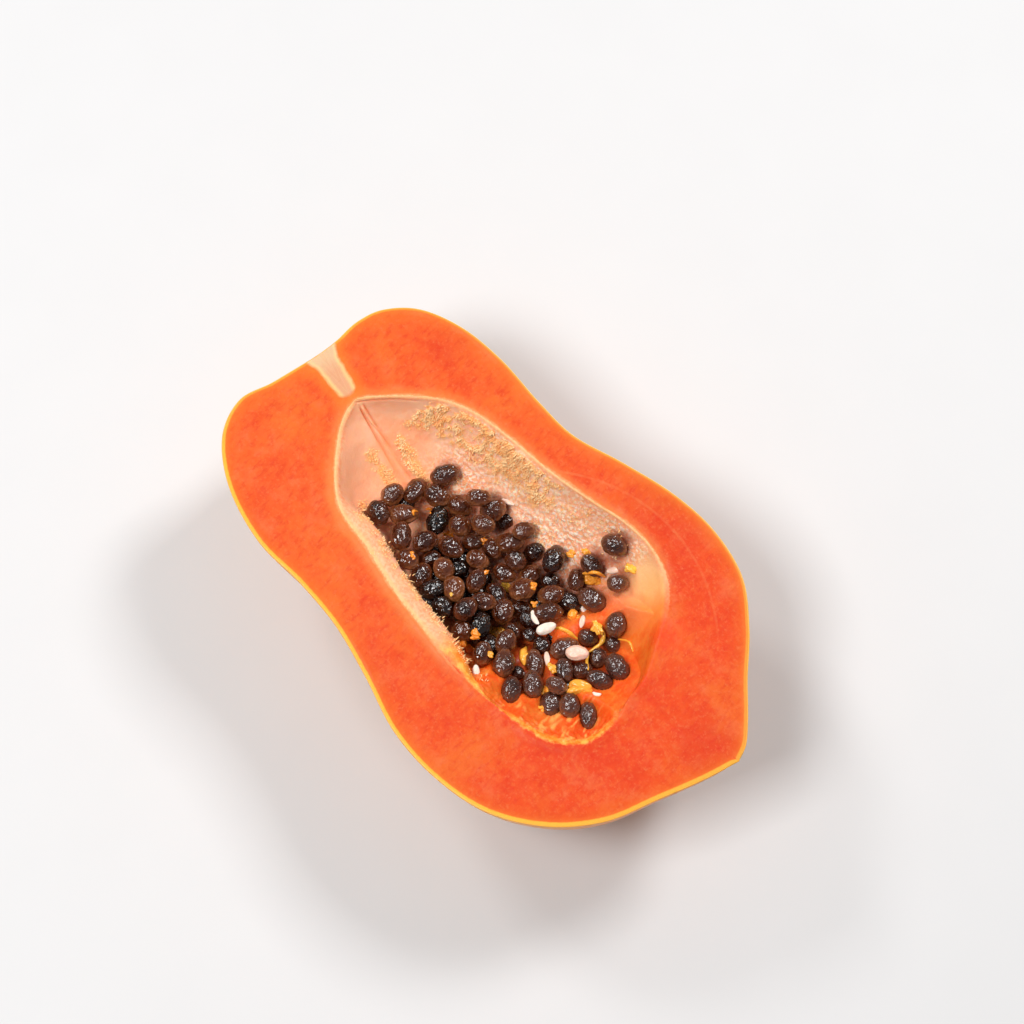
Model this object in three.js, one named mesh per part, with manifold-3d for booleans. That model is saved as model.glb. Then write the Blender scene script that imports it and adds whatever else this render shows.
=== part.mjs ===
// Half of a ripe papaya, cut lengthwise. It lies on its skin with the cut face level and up,
// and its seeds lie loose in the hollow. X runs from the stem end to the blossom end, Y
// across the cut face, Z up. Lengths are in millimetres and angles in degrees.
import * as THREE from 'three';
import { mergeVertices } from 'three/addons/utils/BufferGeometryUtils.js';
import Module from 'manifold-3d';

const wasm = await Module();
wasm.setup();

// Height of the cut face above the surface that the fruit rests on. The skin's deepest
// station reaches a little further down, and the weight presses that little flat.
const CUT_HEIGHT = 52;

// The skin and the hollow are both lofted through stations along X. A station has the
// edge on the near side (-Y) as x, y, the edge on the far side (+Y), and the greatest
// depth under the cut face between them.
const STEM_SCAR = [-80.9, 14.8];
const BLOSSOM_TIP = [88, 7.6];
const SKIN_STATIONS = [
  { near: [-82.4, 8.5], far: [-80.2, 21], depth: 8 },
  { near: [-84.8, -1], far: [-79.9, 29], depth: 17 },
  { near: [-88, -11.5], far: [-76.8, 37.2], depth: 28 },
  { near: [-84, -22.4], far: [-69, 44.5], depth: 37 },
  { near: [-72, -32], far: [-56, 48.7], depth: 44 },
  { near: [-54, -38], far: [-41, 49.2], depth: 48.6 },
  { near: [-37, -38.7], far: [-24, 47.1], depth: 51 },
  { near: [-21, -40.8], far: [-10.5, 46.4], depth: 52.2 },
  { near: [-5, -45.6], far: [6, 50.1], depth: 52.6 },
  { near: [12, -51.6], far: [23, 53], depth: 52.5 },
  { near: [29, -53.3], far: [38, 52.8], depth: 51.2 },
  { near: [46, -50.8], far: [53, 48.2], depth: 47.4 },
  { near: [61, -42.6], far: [64.5, 38.4], depth: 39.6 },
  { near: [72.2, -30.4], far: [74, 27], depth: 29 },
  { near: [79, -15.4], far: [81.6, 18.6], depth: 17 },
  { near: [84.6, -2.4], far: [86.4, 12.4], depth: 7.4 },
];

// The hollow's stations also say how full each wall is: 1 is a straight slope down to
// the crease along the bottom, 2 is a round bowl, and more than 2 is a steep wall.
const HOLLOW_START = [-63.6, 11.6];
const HOLLOW_END = [53.4, 0.6];
const HOLLOW_STATIONS = [
  { near: [-61, 4.2], far: [-58, 17.6], depth: 4.5, nearFullness: 1.5, farFullness: 1.3 },
  { near: [-56.5, -2.6], far: [-51.5, 23.6], depth: 8.5, nearFullness: 1.5, farFullness: 1.3 },
  { near: [-50, -10], far: [-44, 28.8], depth: 12.5, nearFullness: 1.7, farFullness: 1.3 },
  { near: [-43, -14.8], far: [-35, 31.8], depth: 15.5, nearFullness: 2, farFullness: 1.3 },
  { near: [-31, -17.4], far: [-22, 33], depth: 18, nearFullness: 2.3, farFullness: 1.3 },
  { near: [-17, -21.2], far: [-8, 33.4], depth: 20, nearFullness: 2.5, farFullness: 1.3 },
  { near: [-2, -24], far: [6, 35], depth: 21, nearFullness: 2.6, farFullness: 1.3 },
  { near: [14, -26.2], far: [19, 36.9], depth: 20.5, nearFullness: 2.6, farFullness: 1.35 },
  { near: [27, -26.6], far: [29, 36.2], depth: 19, nearFullness: 2.5, farFullness: 1.3 },
  { near: [38, -25], far: [37.5, 32], depth: 17, nearFullness: 2.4, farFullness: 1.15 },
  { near: [46.6, -22.2], far: [43.2, 25.5], depth: 14, nearFullness: 2.3, farFullness: 1.1 },
  { near: [52.4, -16.6], far: [47.6, 16.8], depth: 10.5, nearFullness: 2.2, farFullness: 1.2 },
  { near: [54.2, -8.6], far: [51.6, 8.4], depth: 6.5, nearFullness: 2, farFullness: 1.4 },
];

// Steps of the lofted surfaces, along and around.
const SKIN_STEPS = { along: 64, around: 44 };
const HOLLOW_STEPS = { along: 48, around: 44 };
const SEED_STEPS = { along: 6, around: 8 };

// The seeds lie in a heap that leans towards the near wall. Its middle lies HEAP_DEPTH
// under the cut face, and it rises towards the near wall and both ends.
const HEAP_DEPTH = 10.5;
const HEAP_RISE_TO_NEAR = 0.2;
const HEAP_BLOSSOM = { from: 25, rise: 0.1 };
const HEAP_STEM = { from: -25, rise: 0.12 };
const LEAST_DEPTH = 3;

// Room left between a seed and whatever lies next to it. To find that room a seed settles
// or lifts a step at a time, and then it may also slip sideways a little.
const SEED_GAP = 0.3;
const SETTLE_STEP = 0.4;
const DEEPEST_SETTLE = 4;
const HIGHEST_LIFT = 15;
const SLIPS = [0, 0.7, 1.4, 2.1];
const SLIP_DIRECTIONS = 8;
// The seeds' places hold on the heap, looking down a line that leans by this much of X
// and Y for each millimetre of depth. A seed that settles or lifts moves along that line.
const SIGHT_LEAN = { x: 0.209, y: -0.224 };
// A seed leans out of level by up to this angle, by turns to one side and the other.
const SEED_LEAN = 14;

// Each seed in its soft coat: x, y, length, width, and the turn of its long axis. They
// are listed from the top of the heap down, because each settles clear of those before.
const SEEDS = [
  [-31.9, 15.3, 7.9, 6, 60],
  [-29, 9, 7.6, 6.2, 10],
  [-34.5, 5.4, 8.2, 5.4, -80],
  [-31.5, -2.2, 7.8, 5.8, 50],
  [-23.8, 3.5, 8.2, 5.8, -65],
  [-36.9, -7.2, 7.2, 6.2, -30],
  [-14.7, 17.4, 7.6, 6.4, 80],
  [-15.2, 0.1, 7.8, 5.8, 5],
  [-21.7, -3.8, 6.9, 5.8, 70],
  [-11.9, -6.3, 6.3, 6, -30],
  [-4.4, 13.1, 8, 5.6, 45],
  [8.1, 18.5, 8.4, 6, 110],
  [-5.6, -8.8, 7, 6, -40],
  [8.3, 5.2, 7.4, 5.8, 65],
  [18.3, 4.9, 8.4, 5.8, 55],
  [-2.9, -2.3, 7, 5, 100],
  [3, -5.5, 7, 5, 40],
  [9, -3.8, 6.9, 6, -60],
  [7.3, -11.1, 7, 5.8, -60],
  [5, -16.5, 5.7, 5.6, 0],
  [15.8, -10, 6.8, 5.4, 105],
  [17.1, 33.9, 7.2, 5.6, 15],
  [17, 24.8, 6.8, 5, 0],
  [25.8, 26, 5.4, 5, 40],
  [24.5, 17, 8.2, 6, 10],
  [34.4, 16.1, 6.6, 5.8, 120],
  [43.6, 6.5, 7.8, 6, -15],
  [43, 0, 7.4, 5, 25],
  [47.8, -10.2, 7.8, 5, -45],
  [42, -11.7, 7, 5.6, -50],
  [38, -15.2, 6.8, 6, -45],
  [30, -14, 7.8, 5.4, -45],
  [27, -19.7, 7.6, 5.4, -55],
  [19.8, -15, 7.8, 6, -55],
  [26.2, -9, 7.6, 4.8, -35],
  [29, 0.3, 8, 5.4, 65],
  [-38.1, -0.3, 6.7, 5.6, 90],
  [-27.5, -7.4, 7.8, 5.4, -50],
  [-22.2, 11.4, 7, 5.8, 20],
  [-20.2, 17.2, 6.5, 5, 35],
  [-18, 6.8, 6, 5.6, 0],
  [-13.6, 12, 6.4, 5.4, 20],
  [-21.2, -11.3, 6, 5.6, 0],
  [-15.1, -12.2, 6.9, 5.8, 110],
  [-9.9, -13.2, 6.4, 5.4, 60],
  [-4, 18.9, 6, 4.8, 60],
  [0.7, 10.4, 5.8, 5.4, 0],
  [6.7, 10, 6.2, 5.2, 80],
  [-7.1, 2.7, 6.2, 5, 15],
  [15.2, 9.6, 7.2, 5.4, 55],
  [12.5, 0.4, 6.4, 4.8, 25],
  [-4, -15, 6, 5.4, 0],
  [0.8, -10.7, 6.8, 5.6, 80],
  [13.6, -17.2, 6.4, 5.2, -60],
  [17, 18.4, 6.2, 4.6, -55],
  [33.7, -4.8, 6.8, 4.6, -40],
  [35.2, -9.6, 6, 4.6, 15],
];

// Seeds that never ripened are pale and a little flat.
const PALE_SEEDS = [
  [33.2, 1, 6.4, 4.4, 40],
  [21.7, 0.4, 5.8, 3.2, 65],
];
const PALE_SEED_LIFT = 3.4;
const PALE_SEED_FLATNESS = 0.7;

const FLESH = { color: 0xf4663a, roughness: 0.42, metalness: 0 };
const SEED_COAT = { color: 0x35201a, roughness: 0.18, metalness: 0 };
const PALE_COAT = { color: 0xf3d8c8, roughness: 0.3, metalness: 0 };

// One smooth curve through the stations' values, from 0 at the first to 1 at the last.
function curveThrough(points) {
  const places = points.map((point) => new THREE.Vector3(...point));
  return new THREE.CatmullRomCurve3(places, false, 'centripetal');
}

// Curves of the near edge, the far edge and the depth, which share one parameter.
function loftCurves(start, stations, end) {
  const firstEdge = [...start, 0];
  const lastEdge = [...end, 0];
  const near = stations.map((station) => [...station.near, station.depth]);
  const far = stations.map((station) => [...station.far, station.depth]);
  return {
    near: curveThrough([firstEdge, ...near, lastEdge]),
    far: curveThrough([firstEdge, ...far, lastEdge]),
  };
}

// A value that changes evenly from one station to the next, and is held at both ends.
function stationValue(stations, name, share) {
  const place = THREE.MathUtils.clamp(share * (stations.length + 1) - 1, 0, stations.length - 1);
  const before = Math.min(Math.floor(place), stations.length - 2);
  const part = place - before;
  return THREE.MathUtils.lerp(stations[before][name], stations[before + 1][name], part);
}

// Moves a unit sphere's points onto the loft. The sphere's axis lies along X, so a point's
// place along X gives the share of the way from start to end, and its direction across
// gives the place around the section. The upper half mirrors the lower one.
function loft(start, stations, end, steps, fullness) {
  const curves = loftCurves(start, stations, end);
  const geometry = new THREE.SphereGeometry(1, steps.around, steps.along);
  geometry.rotateZ(Math.PI / 2);
  const position = geometry.attributes.position;
  for (let i = 0; i < position.count; i += 1) {
    const share = Math.acos(THREE.MathUtils.clamp(-position.getX(i), -1, 1)) / Math.PI;
    const across = Math.hypot(position.getY(i), position.getZ(i));
    const side = across > 1e-6 ? position.getY(i) / across : 0;
    const rise = across > 1e-6 ? position.getZ(i) / across : 0;
    const near = curves.near.getPoint(share);
    const far = curves.far.getPoint(share);
    const depth = (near.z + far.z) / 2;
    const power = 2 / fullness(share, side);
    const sideways = Math.sign(side) * Math.abs(side) ** power;
    const upwards = Math.sign(rise) * Math.abs(rise) ** power;
    position.setXYZ(
      i,
      (near.x + far.x) / 2 + sideways * (far.x - near.x) / 2,
      (near.y + far.y) / 2 + sideways * (far.y - near.y) / 2,
      CUT_HEIGHT + upwards * depth,
    );
  }
  return geometry;
}

// A closed geometry as a solid that can be cut and joined.
function toSolid(geometry) {
  const bare = geometry.clone();
  bare.deleteAttribute('normal');
  bare.deleteAttribute('uv');
  const merged = mergeVertices(bare, 1e-4);
  return new wasm.Manifold(new wasm.Mesh({
    numProp: 3,
    vertProperties: new Float32Array(merged.attributes.position.array),
    triVerts: new Uint32Array(merged.index.array),
  }));
}

// The solid's faces as a geometry again.
function toGeometry(solid) {
  const mesh = solid.getMesh();
  const geometry = new THREE.BufferGeometry();
  geometry.setAttribute('position', new THREE.BufferAttribute(mesh.vertProperties, 3));
  geometry.setIndex(new THREE.BufferAttribute(mesh.triVerts, 1));
  geometry.computeVertexNormals();
  return geometry;
}

// A box that covers everything above or below a level, for cutting there.
function slab(bottom, top) {
  const room = 400;
  const geometry = new THREE.BoxGeometry(room, room, top - bottom);
  geometry.translate(0, 0, (bottom + top) / 2);
  return toSolid(geometry);
}

// The fruit's half: the whole skin shape, cut level, hollowed and pressed flat below.
function halfSolid() {
  const round = () => 2;
  const hollowFullness = (share, side) => {
    const wall = side < 0 ? 'nearFullness' : 'farFullness';
    return stationValue(HOLLOW_STATIONS, wall, share);
  };
  const whole = toSolid(loft(STEM_SCAR, SKIN_STATIONS, BLOSSOM_TIP, SKIN_STEPS, round));
  const hollow = toSolid(
    loft(HOLLOW_START, HOLLOW_STATIONS, HOLLOW_END, HOLLOW_STEPS, hollowFullness),
  );
  const above = slab(CUT_HEIGHT, 4 * CUT_HEIGHT);
  const below = slab(-2 * CUT_HEIGHT, 0);
  return whole.subtract(above).subtract(hollow).subtract(below);
}

// Depth under the cut face at which the middle of a seed lies on top of the heap.
function heapDepth(x, y) {
  const blossomRise = HEAP_BLOSSOM.rise * Math.max(0, x - HEAP_BLOSSOM.from);
  const stemRise = HEAP_STEM.rise * Math.max(0, HEAP_STEM.from - x);
  const depth = HEAP_DEPTH + HEAP_RISE_TO_NEAR * y - blossomRise - stemRise;
  return Math.max(LEAST_DEPTH, depth);
}

// A seed's body, grown on every side by the room that it needs.
function seedGeometry(length, width, flatness, room) {
  const geometry = new THREE.SphereGeometry(1, SEED_STEPS.around, SEED_STEPS.along);
  geometry.rotateZ(Math.PI / 2);
  geometry.scale(length / 2 + room, width / 2 + room, flatness * width / 2 + room);
  return geometry;
}

// Where and how a seed lies, at a depth under the cut face.
function seedMatrix(x, y, depth, turn, lean) {
  const upright = THREE.MathUtils.degToRad(lean);
  const level = THREE.MathUtils.degToRad(turn);
  return new THREE.Matrix4().compose(
    new THREE.Vector3(x, y, CUT_HEIGHT - depth),
    new THREE.Quaternion().setFromEuler(new THREE.Euler(0, upright, level, 'ZYX')),
    new THREE.Vector3(1, 1, 1),
  );
}

// Changes of depth to try for a seed: down from where it starts, and then up from there.
function settlesToTry() {
  const settles = [];
  for (let down = 0; down <= DEEPEST_SETTLE; down += SETTLE_STEP) {
    settles.push(down);
  }
  for (let up = SETTLE_STEP; up <= HIGHEST_LIFT; up += SETTLE_STEP) {
    settles.push(-up);
  }
  return settles;
}

// Sideways moves of one length, spread evenly round.
function slipsToTry(slip) {
  const count = slip > 0 ? SLIP_DIRECTIONS : 1;
  return Array.from({ length: count }, (_, index) => {
    const angle = (2 * Math.PI * index) / count;
    return { x: slip * Math.cos(angle), y: slip * Math.sin(angle) };
  });
}

// The neighbours that come near enough to matter.
function nearby(neighbours, x, y, reach) {
  return neighbours.filter((other) => Math.hypot(other.x - x, other.y - y) < reach + other.reach);
}

// The first place at which the seed has room on every side.
function settledPlace(seed, start, lean, flatness, neighbours) {
  const [seenX, seenY, length, width, turn] = seed;
  const roomy = seedGeometry(length, width, flatness, SEED_GAP);
  for (const slip of SLIPS.flatMap(slipsToTry)) {
    for (const settle of settlesToTry()) {
      const x = seenX + slip.x - SIGHT_LEAN.x * settle;
      const y = seenY + slip.y - SIGHT_LEAN.y * settle;
      const matrix = seedMatrix(x, y, start + settle, turn, lean);
      const grown = toSolid(roomy.clone().applyMatrix4(matrix));
      const others = nearby(neighbours, x, y, length / 2 + SEED_GAP);
      if (others.every((other) => grown.intersect(other.solid).isEmpty())) {
        return { x, y, matrix };
      }
    }
  }
  throw new Error(`no room for the seed at ${seenX}, ${seenY}`);
}

// One seed as a named mesh, placed and turned, which also joins the list of neighbours.
function addSeed(group, name, seed, start, lean, flatness, coat, neighbours) {
  const geometry = seedGeometry(seed[2], seed[3], flatness, 0);
  const { x, y, matrix } = settledPlace(seed, start, lean, flatness, neighbours);
  const mesh = new THREE.Mesh(geometry, new THREE.MeshStandardMaterial(coat));
  mesh.name = name;
  mesh.applyMatrix4(matrix);
  group.add(mesh);
  const solid = toSolid(geometry.clone().applyMatrix4(matrix));
  neighbours.unshift({ x, y, reach: seed[2] / 2, solid });
}

const papaya = new THREE.Group();
const half = halfSolid();
const halfMesh = new THREE.Mesh(toGeometry(half), new THREE.MeshStandardMaterial(FLESH));
halfMesh.name = 'papaya_half';
papaya.add(halfMesh);

// The half is everybody's neighbour, and comes last because it takes longest to try.
const settled = [{ x: 0, y: 0, reach: Infinity, solid: half }];
SEEDS.forEach((seed, index) => {
  const lean = SEED_LEAN * Math.sin(index * 2.4);
  const start = heapDepth(seed[0], seed[1]);
  const name = `seed_${String(index + 1).padStart(2, '0')}`;
  addSeed(papaya, name, seed, start, lean, 1, SEED_COAT, settled);
});
PALE_SEEDS.forEach((seed, index) => {
  const start = heapDepth(seed[0], seed[1]) - PALE_SEED_LIFT;
  const name = `pale_seed_${index + 1}`;
  addSeed(papaya, name, seed, start, 0, PALE_SEED_FLATNESS, PALE_COAT, settled);
});

// The origin is under the middle of the whole, on the surface that it rests on.
const box = new THREE.Box3().setFromObject(papaya);
const middle = box.getCenter(new THREE.Vector3());
papaya.position.set(-middle.x, -middle.y, 0);

export default papaya;
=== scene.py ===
# %% [markdown]
# Half of a ripe papaya
#
# The fruit was cut lengthwise and lies on its skin with the cut face level. The measured
# model already says where the half and each of its seeds are. This lesson gives them their
# looks: fine surfaces worked out with numpy, and materials made of nodes.

import itertools
import math
import types

import bmesh
import bpy
import numpy as np
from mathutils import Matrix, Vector
from mathutils.bvhtree import BVHTree


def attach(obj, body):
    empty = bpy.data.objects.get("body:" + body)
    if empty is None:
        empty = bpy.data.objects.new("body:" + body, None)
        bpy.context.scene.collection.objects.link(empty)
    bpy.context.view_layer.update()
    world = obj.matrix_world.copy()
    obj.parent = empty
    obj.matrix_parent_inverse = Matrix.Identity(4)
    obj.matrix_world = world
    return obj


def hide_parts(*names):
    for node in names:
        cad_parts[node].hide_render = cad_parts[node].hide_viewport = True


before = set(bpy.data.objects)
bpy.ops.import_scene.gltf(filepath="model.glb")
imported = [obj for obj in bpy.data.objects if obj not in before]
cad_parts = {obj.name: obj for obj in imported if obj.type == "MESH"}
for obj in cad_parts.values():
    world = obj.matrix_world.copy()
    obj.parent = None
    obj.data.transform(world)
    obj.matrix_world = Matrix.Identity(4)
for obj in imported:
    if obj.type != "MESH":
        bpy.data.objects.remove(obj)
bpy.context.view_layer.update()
MM = 0.001

# %% [markdown]
# The camera stands where the photographer stood: in front, to the side of the stem end, and
# looking steeply down. A long lens keeps the two ends of the fruit nearly the same scale.
# It comes first, because small scraps are later laid where this camera sees them.

# %% Place the camera
CUT_HEIGHT = 52.0
SIGHT_TURN = math.radians(43)
SIGHT_RISE = math.radians(73)
CAMERA_DISTANCE = 810.0
AIM = np.array([-7.4, 17.5, CUT_HEIGHT])

towards_camera = np.array([
    math.sin(SIGHT_TURN) * math.cos(SIGHT_RISE),
    -math.cos(SIGHT_TURN) * math.cos(SIGHT_RISE),
    math.sin(SIGHT_RISE),
])
camera_place = AIM + CAMERA_DISTANCE * towards_camera
camera_data = bpy.data.cameras.new("camera")
camera_data.lens = 100
camera_data.sensor_width = 36
camera = bpy.data.objects.new("camera", camera_data)
camera.location = Vector(camera_place * MM)
camera.rotation_euler = Vector(-towards_camera).to_track_quat("-Z", "Y").to_euler()
bpy.context.scene.collection.objects.link(camera)
bpy.context.scene.camera = camera
print("the camera is at", camera_place.round(), "mm")

# %% [markdown]
# Nothing that grew is quite smooth. Two kinds of roughness are enough for the whole fruit:
# soft noise, for flesh that swells and sinks, and grains, for the beady surface of fuzz and
# of wrinkled coats. Both are worked out for a whole array of points at once, from random
# numbers that depend only on the place, so every run gives the same fruit.

# %% Noise and grains
def lattice_random(corners, seed):
    """A number from 0 to 1 for each whole-number corner: its three numbers are multiplied by
    large odd numbers, mixed bit by bit, and the low bits are kept."""
    mixed = corners[..., 0] * 73856093 ^ corners[..., 1] * 19349663 ^ corners[..., 2] * 83492791
    mixed = (mixed ^ seed * 2654435761) & 0x7FFFFFFF
    mixed = ((mixed ^ (mixed >> 15)) * 2246822519) & 0x7FFFFFFF
    mixed = ((mixed ^ (mixed >> 13)) * 3266489917) & 0x7FFFFFFF
    return ((mixed ^ (mixed >> 16)) & 0xFFFFF) / 0xFFFFF


def soft_noise(points, size, seed):
    """Random corner numbers of a lattice with cells of the given size, blended between the
    eight corners around each point by 3t squared minus 2t cubed. It runs from -1 to 1."""
    cells = points / size
    corner = np.floor(cells).astype(np.int64)
    part = cells - corner
    part = part * part * (3 - 2 * part)
    total = np.zeros(points.shape[:-1])
    for step in itertools.product((0, 1), repeat=3):
        step = np.array(step)
        weight = np.prod(np.where(step == 1, part, 1 - part), axis=-1)
        total += weight * lattice_random(corner + step, seed)
    return 2 * total - 1


def grains(points, size, seed):
    """One round grain at a random place in each lattice cell: the height is 1 minus the squared
    distance to the nearest grain's middle, in cells, and never under 0."""
    cells = points / size
    corner = np.floor(cells).astype(np.int64)
    nearest = np.full(points.shape[:-1], 9.0)
    for step in itertools.product((-1, 0, 1), repeat=3):
        cell = corner + np.array(step)
        middle = np.stack([lattice_random(cell, seed + i) for i in range(3)], axis=-1)
        gap = np.sum((cell + middle - cells) ** 2, axis=-1)
        nearest = np.minimum(nearest, gap)
    return np.clip(1 - 1.6 * nearest, 0, 1)


def fade(value, start, end):
    """0 before start and 1 after end, with a smooth 3t squared minus 2t cubed between."""
    part = np.clip((value - start) / (end - start), 0, 1)
    return part * part * (3 - 2 * part)


def within(value, start, full, waning, end):
    """0 before start and after end, 1 from full to waning, and smooth between."""
    return fade(value, start, full) * (1 - fade(value, waning, end))


print("noise at three places:", soft_noise(np.array([[0, 0, 0], [5, 1, 2], [9, 4, 7.5]]), 3, 1))

# %% [markdown]
# Every new piece is a grid of points, and all of them go into a mesh in the same way: four
# neighbours make a face, and points that fall together at a pole or a seam are welded. The
# piece keeps its place in its mesh, so its object stays at the origin.

# %% Turn grids of points into pieces
def grid_faces(rows, columns, closed=False):
    """The four corners of each cell of a grid whose points are numbered row by row. In a
    closed grid the last column joins the first."""
    row = np.arange(rows - 1)[:, None]
    column = np.arange(columns if closed else columns - 1)[None, :]
    beside = (column + 1) % columns
    corners = (row * columns + column, row * columns + beside,
               (row + 1) * columns + beside, (row + 1) * columns + column)
    return np.stack([np.broadcast_to(c, (rows - 1, column.size)) for c in corners], -1).reshape(-1, 4)


def joined(grids, closed=False):
    """Points and faces of several grids as one list, each grid's faces counted on from the
    points before it."""
    points, faces, count = [], [], 0
    for grid in grids:
        points.append(grid.reshape(-1, 3))
        faces.append(grid_faces(grid.shape[0], grid.shape[1], closed) + count)
        count += grid.shape[0] * grid.shape[1]
    return np.concatenate(points), np.concatenate(faces)


def make_piece(name, points, faces, finishes, stands_for=(), values=None, finish_of_face=None):
    """Points in millimetres and faces become a welded, smooth mesh in metres, with its faces
    turned outwards. values holds a number per point for the materials to read."""
    mesh = bpy.data.meshes.new(name)
    mesh.vertices.add(len(points))
    mesh.vertices.foreach_set("co", (np.asarray(points) * MM).astype(np.float32).ravel())
    mesh.loops.add(faces.size)
    mesh.loops.foreach_set("vertex_index", faces.astype(np.int32).ravel())
    mesh.polygons.add(len(faces))
    mesh.polygons.foreach_set("loop_start", (np.arange(len(faces)) * 4).astype(np.int32))
    for finish in finishes:
        mesh.materials.append(finish)
    mesh.update(calc_edges=True)
    if finish_of_face is not None:
        mesh.polygons.foreach_set("material_index", finish_of_face.astype(np.int32))
    for key, numbers in (values or {}).items():
        layer = mesh.attributes.new(key, "FLOAT", "POINT")
        layer.data.foreach_set("value", numbers.astype(np.float32).ravel())
    welder = bmesh.new()
    welder.from_mesh(mesh)
    bmesh.ops.remove_doubles(welder, verts=welder.verts, dist=1e-6)
    bmesh.ops.recalc_face_normals(welder, faces=welder.faces)
    welder.to_mesh(mesh)
    welder.free()
    mesh.shade_smooth()
    piece = bpy.data.objects.new(name, mesh)
    bpy.context.scene.collection.objects.link(piece)
    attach(piece, "root")
    if stands_for:
        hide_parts(*stands_for)
    return piece


print("a grid of 3 by 3 points has", len(grid_faces(3, 3)), "faces")

# %% [markdown]
# Materials are nodes, and nodes that do sums are tedious to place one by one. A small class
# wraps an output socket, so that a sum on sockets is written as a sum and adds its own
# nodes. A second class holds one material and adds any other node.

# %% Write materials as sums
def colour(code):
    """The linear colour that Blender works with, from a web colour such as #FF7040: each part
    is taken to the power 2.2."""
    parts = [int(code[i:i + 2], 16) / 255 for i in (1, 3, 5)]
    return tuple(part ** 2.2 for part in parts) + (1.0,)


class Output:
    """An output socket that can be added, multiplied and compared."""

    def __init__(self, finish, socket):
        self.finish = finish
        self.socket = socket

    def sum(self, operation, *others):
        """Any operation of the Math node on this output and others."""
        return self.finish.node("ShaderNodeMath", {"operation": operation},
                                {i: other for i, other in enumerate((self, *others))})

    def __add__(self, other):
        return self.sum("ADD", other)

    def __mul__(self, other):
        return self.sum("MULTIPLY", other)

    def __sub__(self, other):
        return self.sum("SUBTRACT", other)

    def __rsub__(self, other):
        return self.finish.node("ShaderNodeMath", {"operation": "SUBTRACT"}, {0: other, 1: self})

    def __pow__(self, other):
        return self.sum("POWER", other)

    __radd__ = __add__
    __rmul__ = __mul__

    def distance_from(self, middle):
        """How far the value is from a middle, on either side."""
        return (self - middle).sum("ABSOLUTE")

    def fade(self, start, end):
        """0 at start and 1 at end, smooth between, as the numpy fade is."""
        return self.finish.node("ShaderNodeMapRange", {"interpolation_type": "SMOOTHSTEP"},
                                {"Value": self, "From Min": start, "From Max": end})


class Finish:
    """One material: its node tree, and one method that adds any node to it."""

    def __init__(self, name):
        self.material = bpy.data.materials.new(name)
        self.material.use_nodes = True
        self.tree = self.material.node_tree
        self.tree.nodes.clear()

    def node(self, kind, settings=None, inputs=None, output=0):
        """Adds a node, makes its settings, then fills its sockets with values or links."""
        made = self.tree.nodes.new(kind)
        for name, value in (settings or {}).items():
            if name == "stops":
                self.fill_ramp(made.color_ramp, value)
            else:
                setattr(made, name, value)
        for key, value in (inputs or {}).items():
            if isinstance(value, Output):
                self.tree.links.new(value.socket, made.inputs[key])
            else:
                made.inputs[key].default_value = value
        return Output(self, made.outputs[output])

    def fill_ramp(self, ramp, stops):
        """Puts a colour at each stop of a colour ramp."""
        while len(ramp.elements) < len(stops):
            ramp.elements.new(1.0)
        for element, (place, code) in zip(ramp.elements, stops):
            element.position = place
            element.color = colour(code)

    def place(self, stretch=(1, 1, 1)):
        """The point's own place in millimetres, stretched along each axis if asked."""
        at = self.node("ShaderNodeTexCoord", output=3)
        scale = tuple(part / MM for part in stretch)
        return self.node("ShaderNodeVectorMath", {"operation": "MULTIPLY"}, {0: at, 1: scale})

    def value(self, name):
        """The number that the mesh keeps for each point under this name."""
        return self.node("ShaderNodeAttribute", {"attribute_name": name}, output=2)

    def noise(self, place, size, detail=3, roughness=0.55):
        """Cloudy noise from 0 to 1 with clouds about one size across."""
        return self.node("ShaderNodeTexNoise", {},
                         {"Vector": place, "Scale": 1 / size, "Detail": detail, "Roughness": roughness})

    def cells(self, place, size, feature="F1"):
        """The distance to the nearest cell's middle, 0 there and about 0.7 at its edge."""
        return self.node("ShaderNodeTexVoronoi", {"feature": feature},
                         {"Vector": place, "Scale": 1 / size})

    def apart(self, place):
        """The X and the Y part of a vector, as two numbers."""
        split = self.node("ShaderNodeSeparateXYZ", {}, {0: place})
        return split, Output(self, split.socket.node.outputs[1])

    def layered(self, shade, layers):
        """Tints a colour several times over, each layer an amount and a colour."""
        for amount, layer in layers:
            shade = self.tint(amount, shade, layer)
        return shade

    def tint(self, amount, first, second, how="MIX"):
        """The first colour where amount is 0 and the second where it is 1."""
        first = colour(first) if isinstance(first, str) else first
        second = colour(second) if isinstance(second, str) else second
        return self.node("ShaderNodeMix", {"data_type": "RGBA", "blend_type": how},
                         {0: amount, 6: first, 7: second}, output=2)

    def surface(self, varying, fixed, height=None, bump=0.1):
        """The Principled shader: what varies is linked, what is the same all over is set on
        the shader's own socket, and a height in millimetres becomes a bump."""
        inputs = dict(fixed)
        inputs.update(varying)
        if height is not None:
            inputs["Normal"] = self.node("ShaderNodeBump", {},
                                         {"Height": height, "Distance": MM, "Strength": bump})
        shader = self.node("ShaderNodeBsdfPrincipled", {}, inputs)
        end = self.tree.nodes.new("ShaderNodeOutputMaterial")
        self.tree.links.new(shader.socket, end.inputs["Surface"])
        return self.material


print("papaya flesh in linear colour:", colour("#FF7040"))

# %% [markdown]
# The half is one grown thing, so it is one closed surface: the skin outside, the hollow
# inside and the cut face between them. Each of the first two is a loft. Its outline seen
# from above is a smooth curve through a few places measured on the fruit, and every
# section across is half of a superellipse, so the same few numbers give the whole shape.

# %% Outlines of the skin and of the hollow
STEM_SCAR = (-80.9, 14.8)
BLOSSOM_TIP = (88, 7.6)
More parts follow.
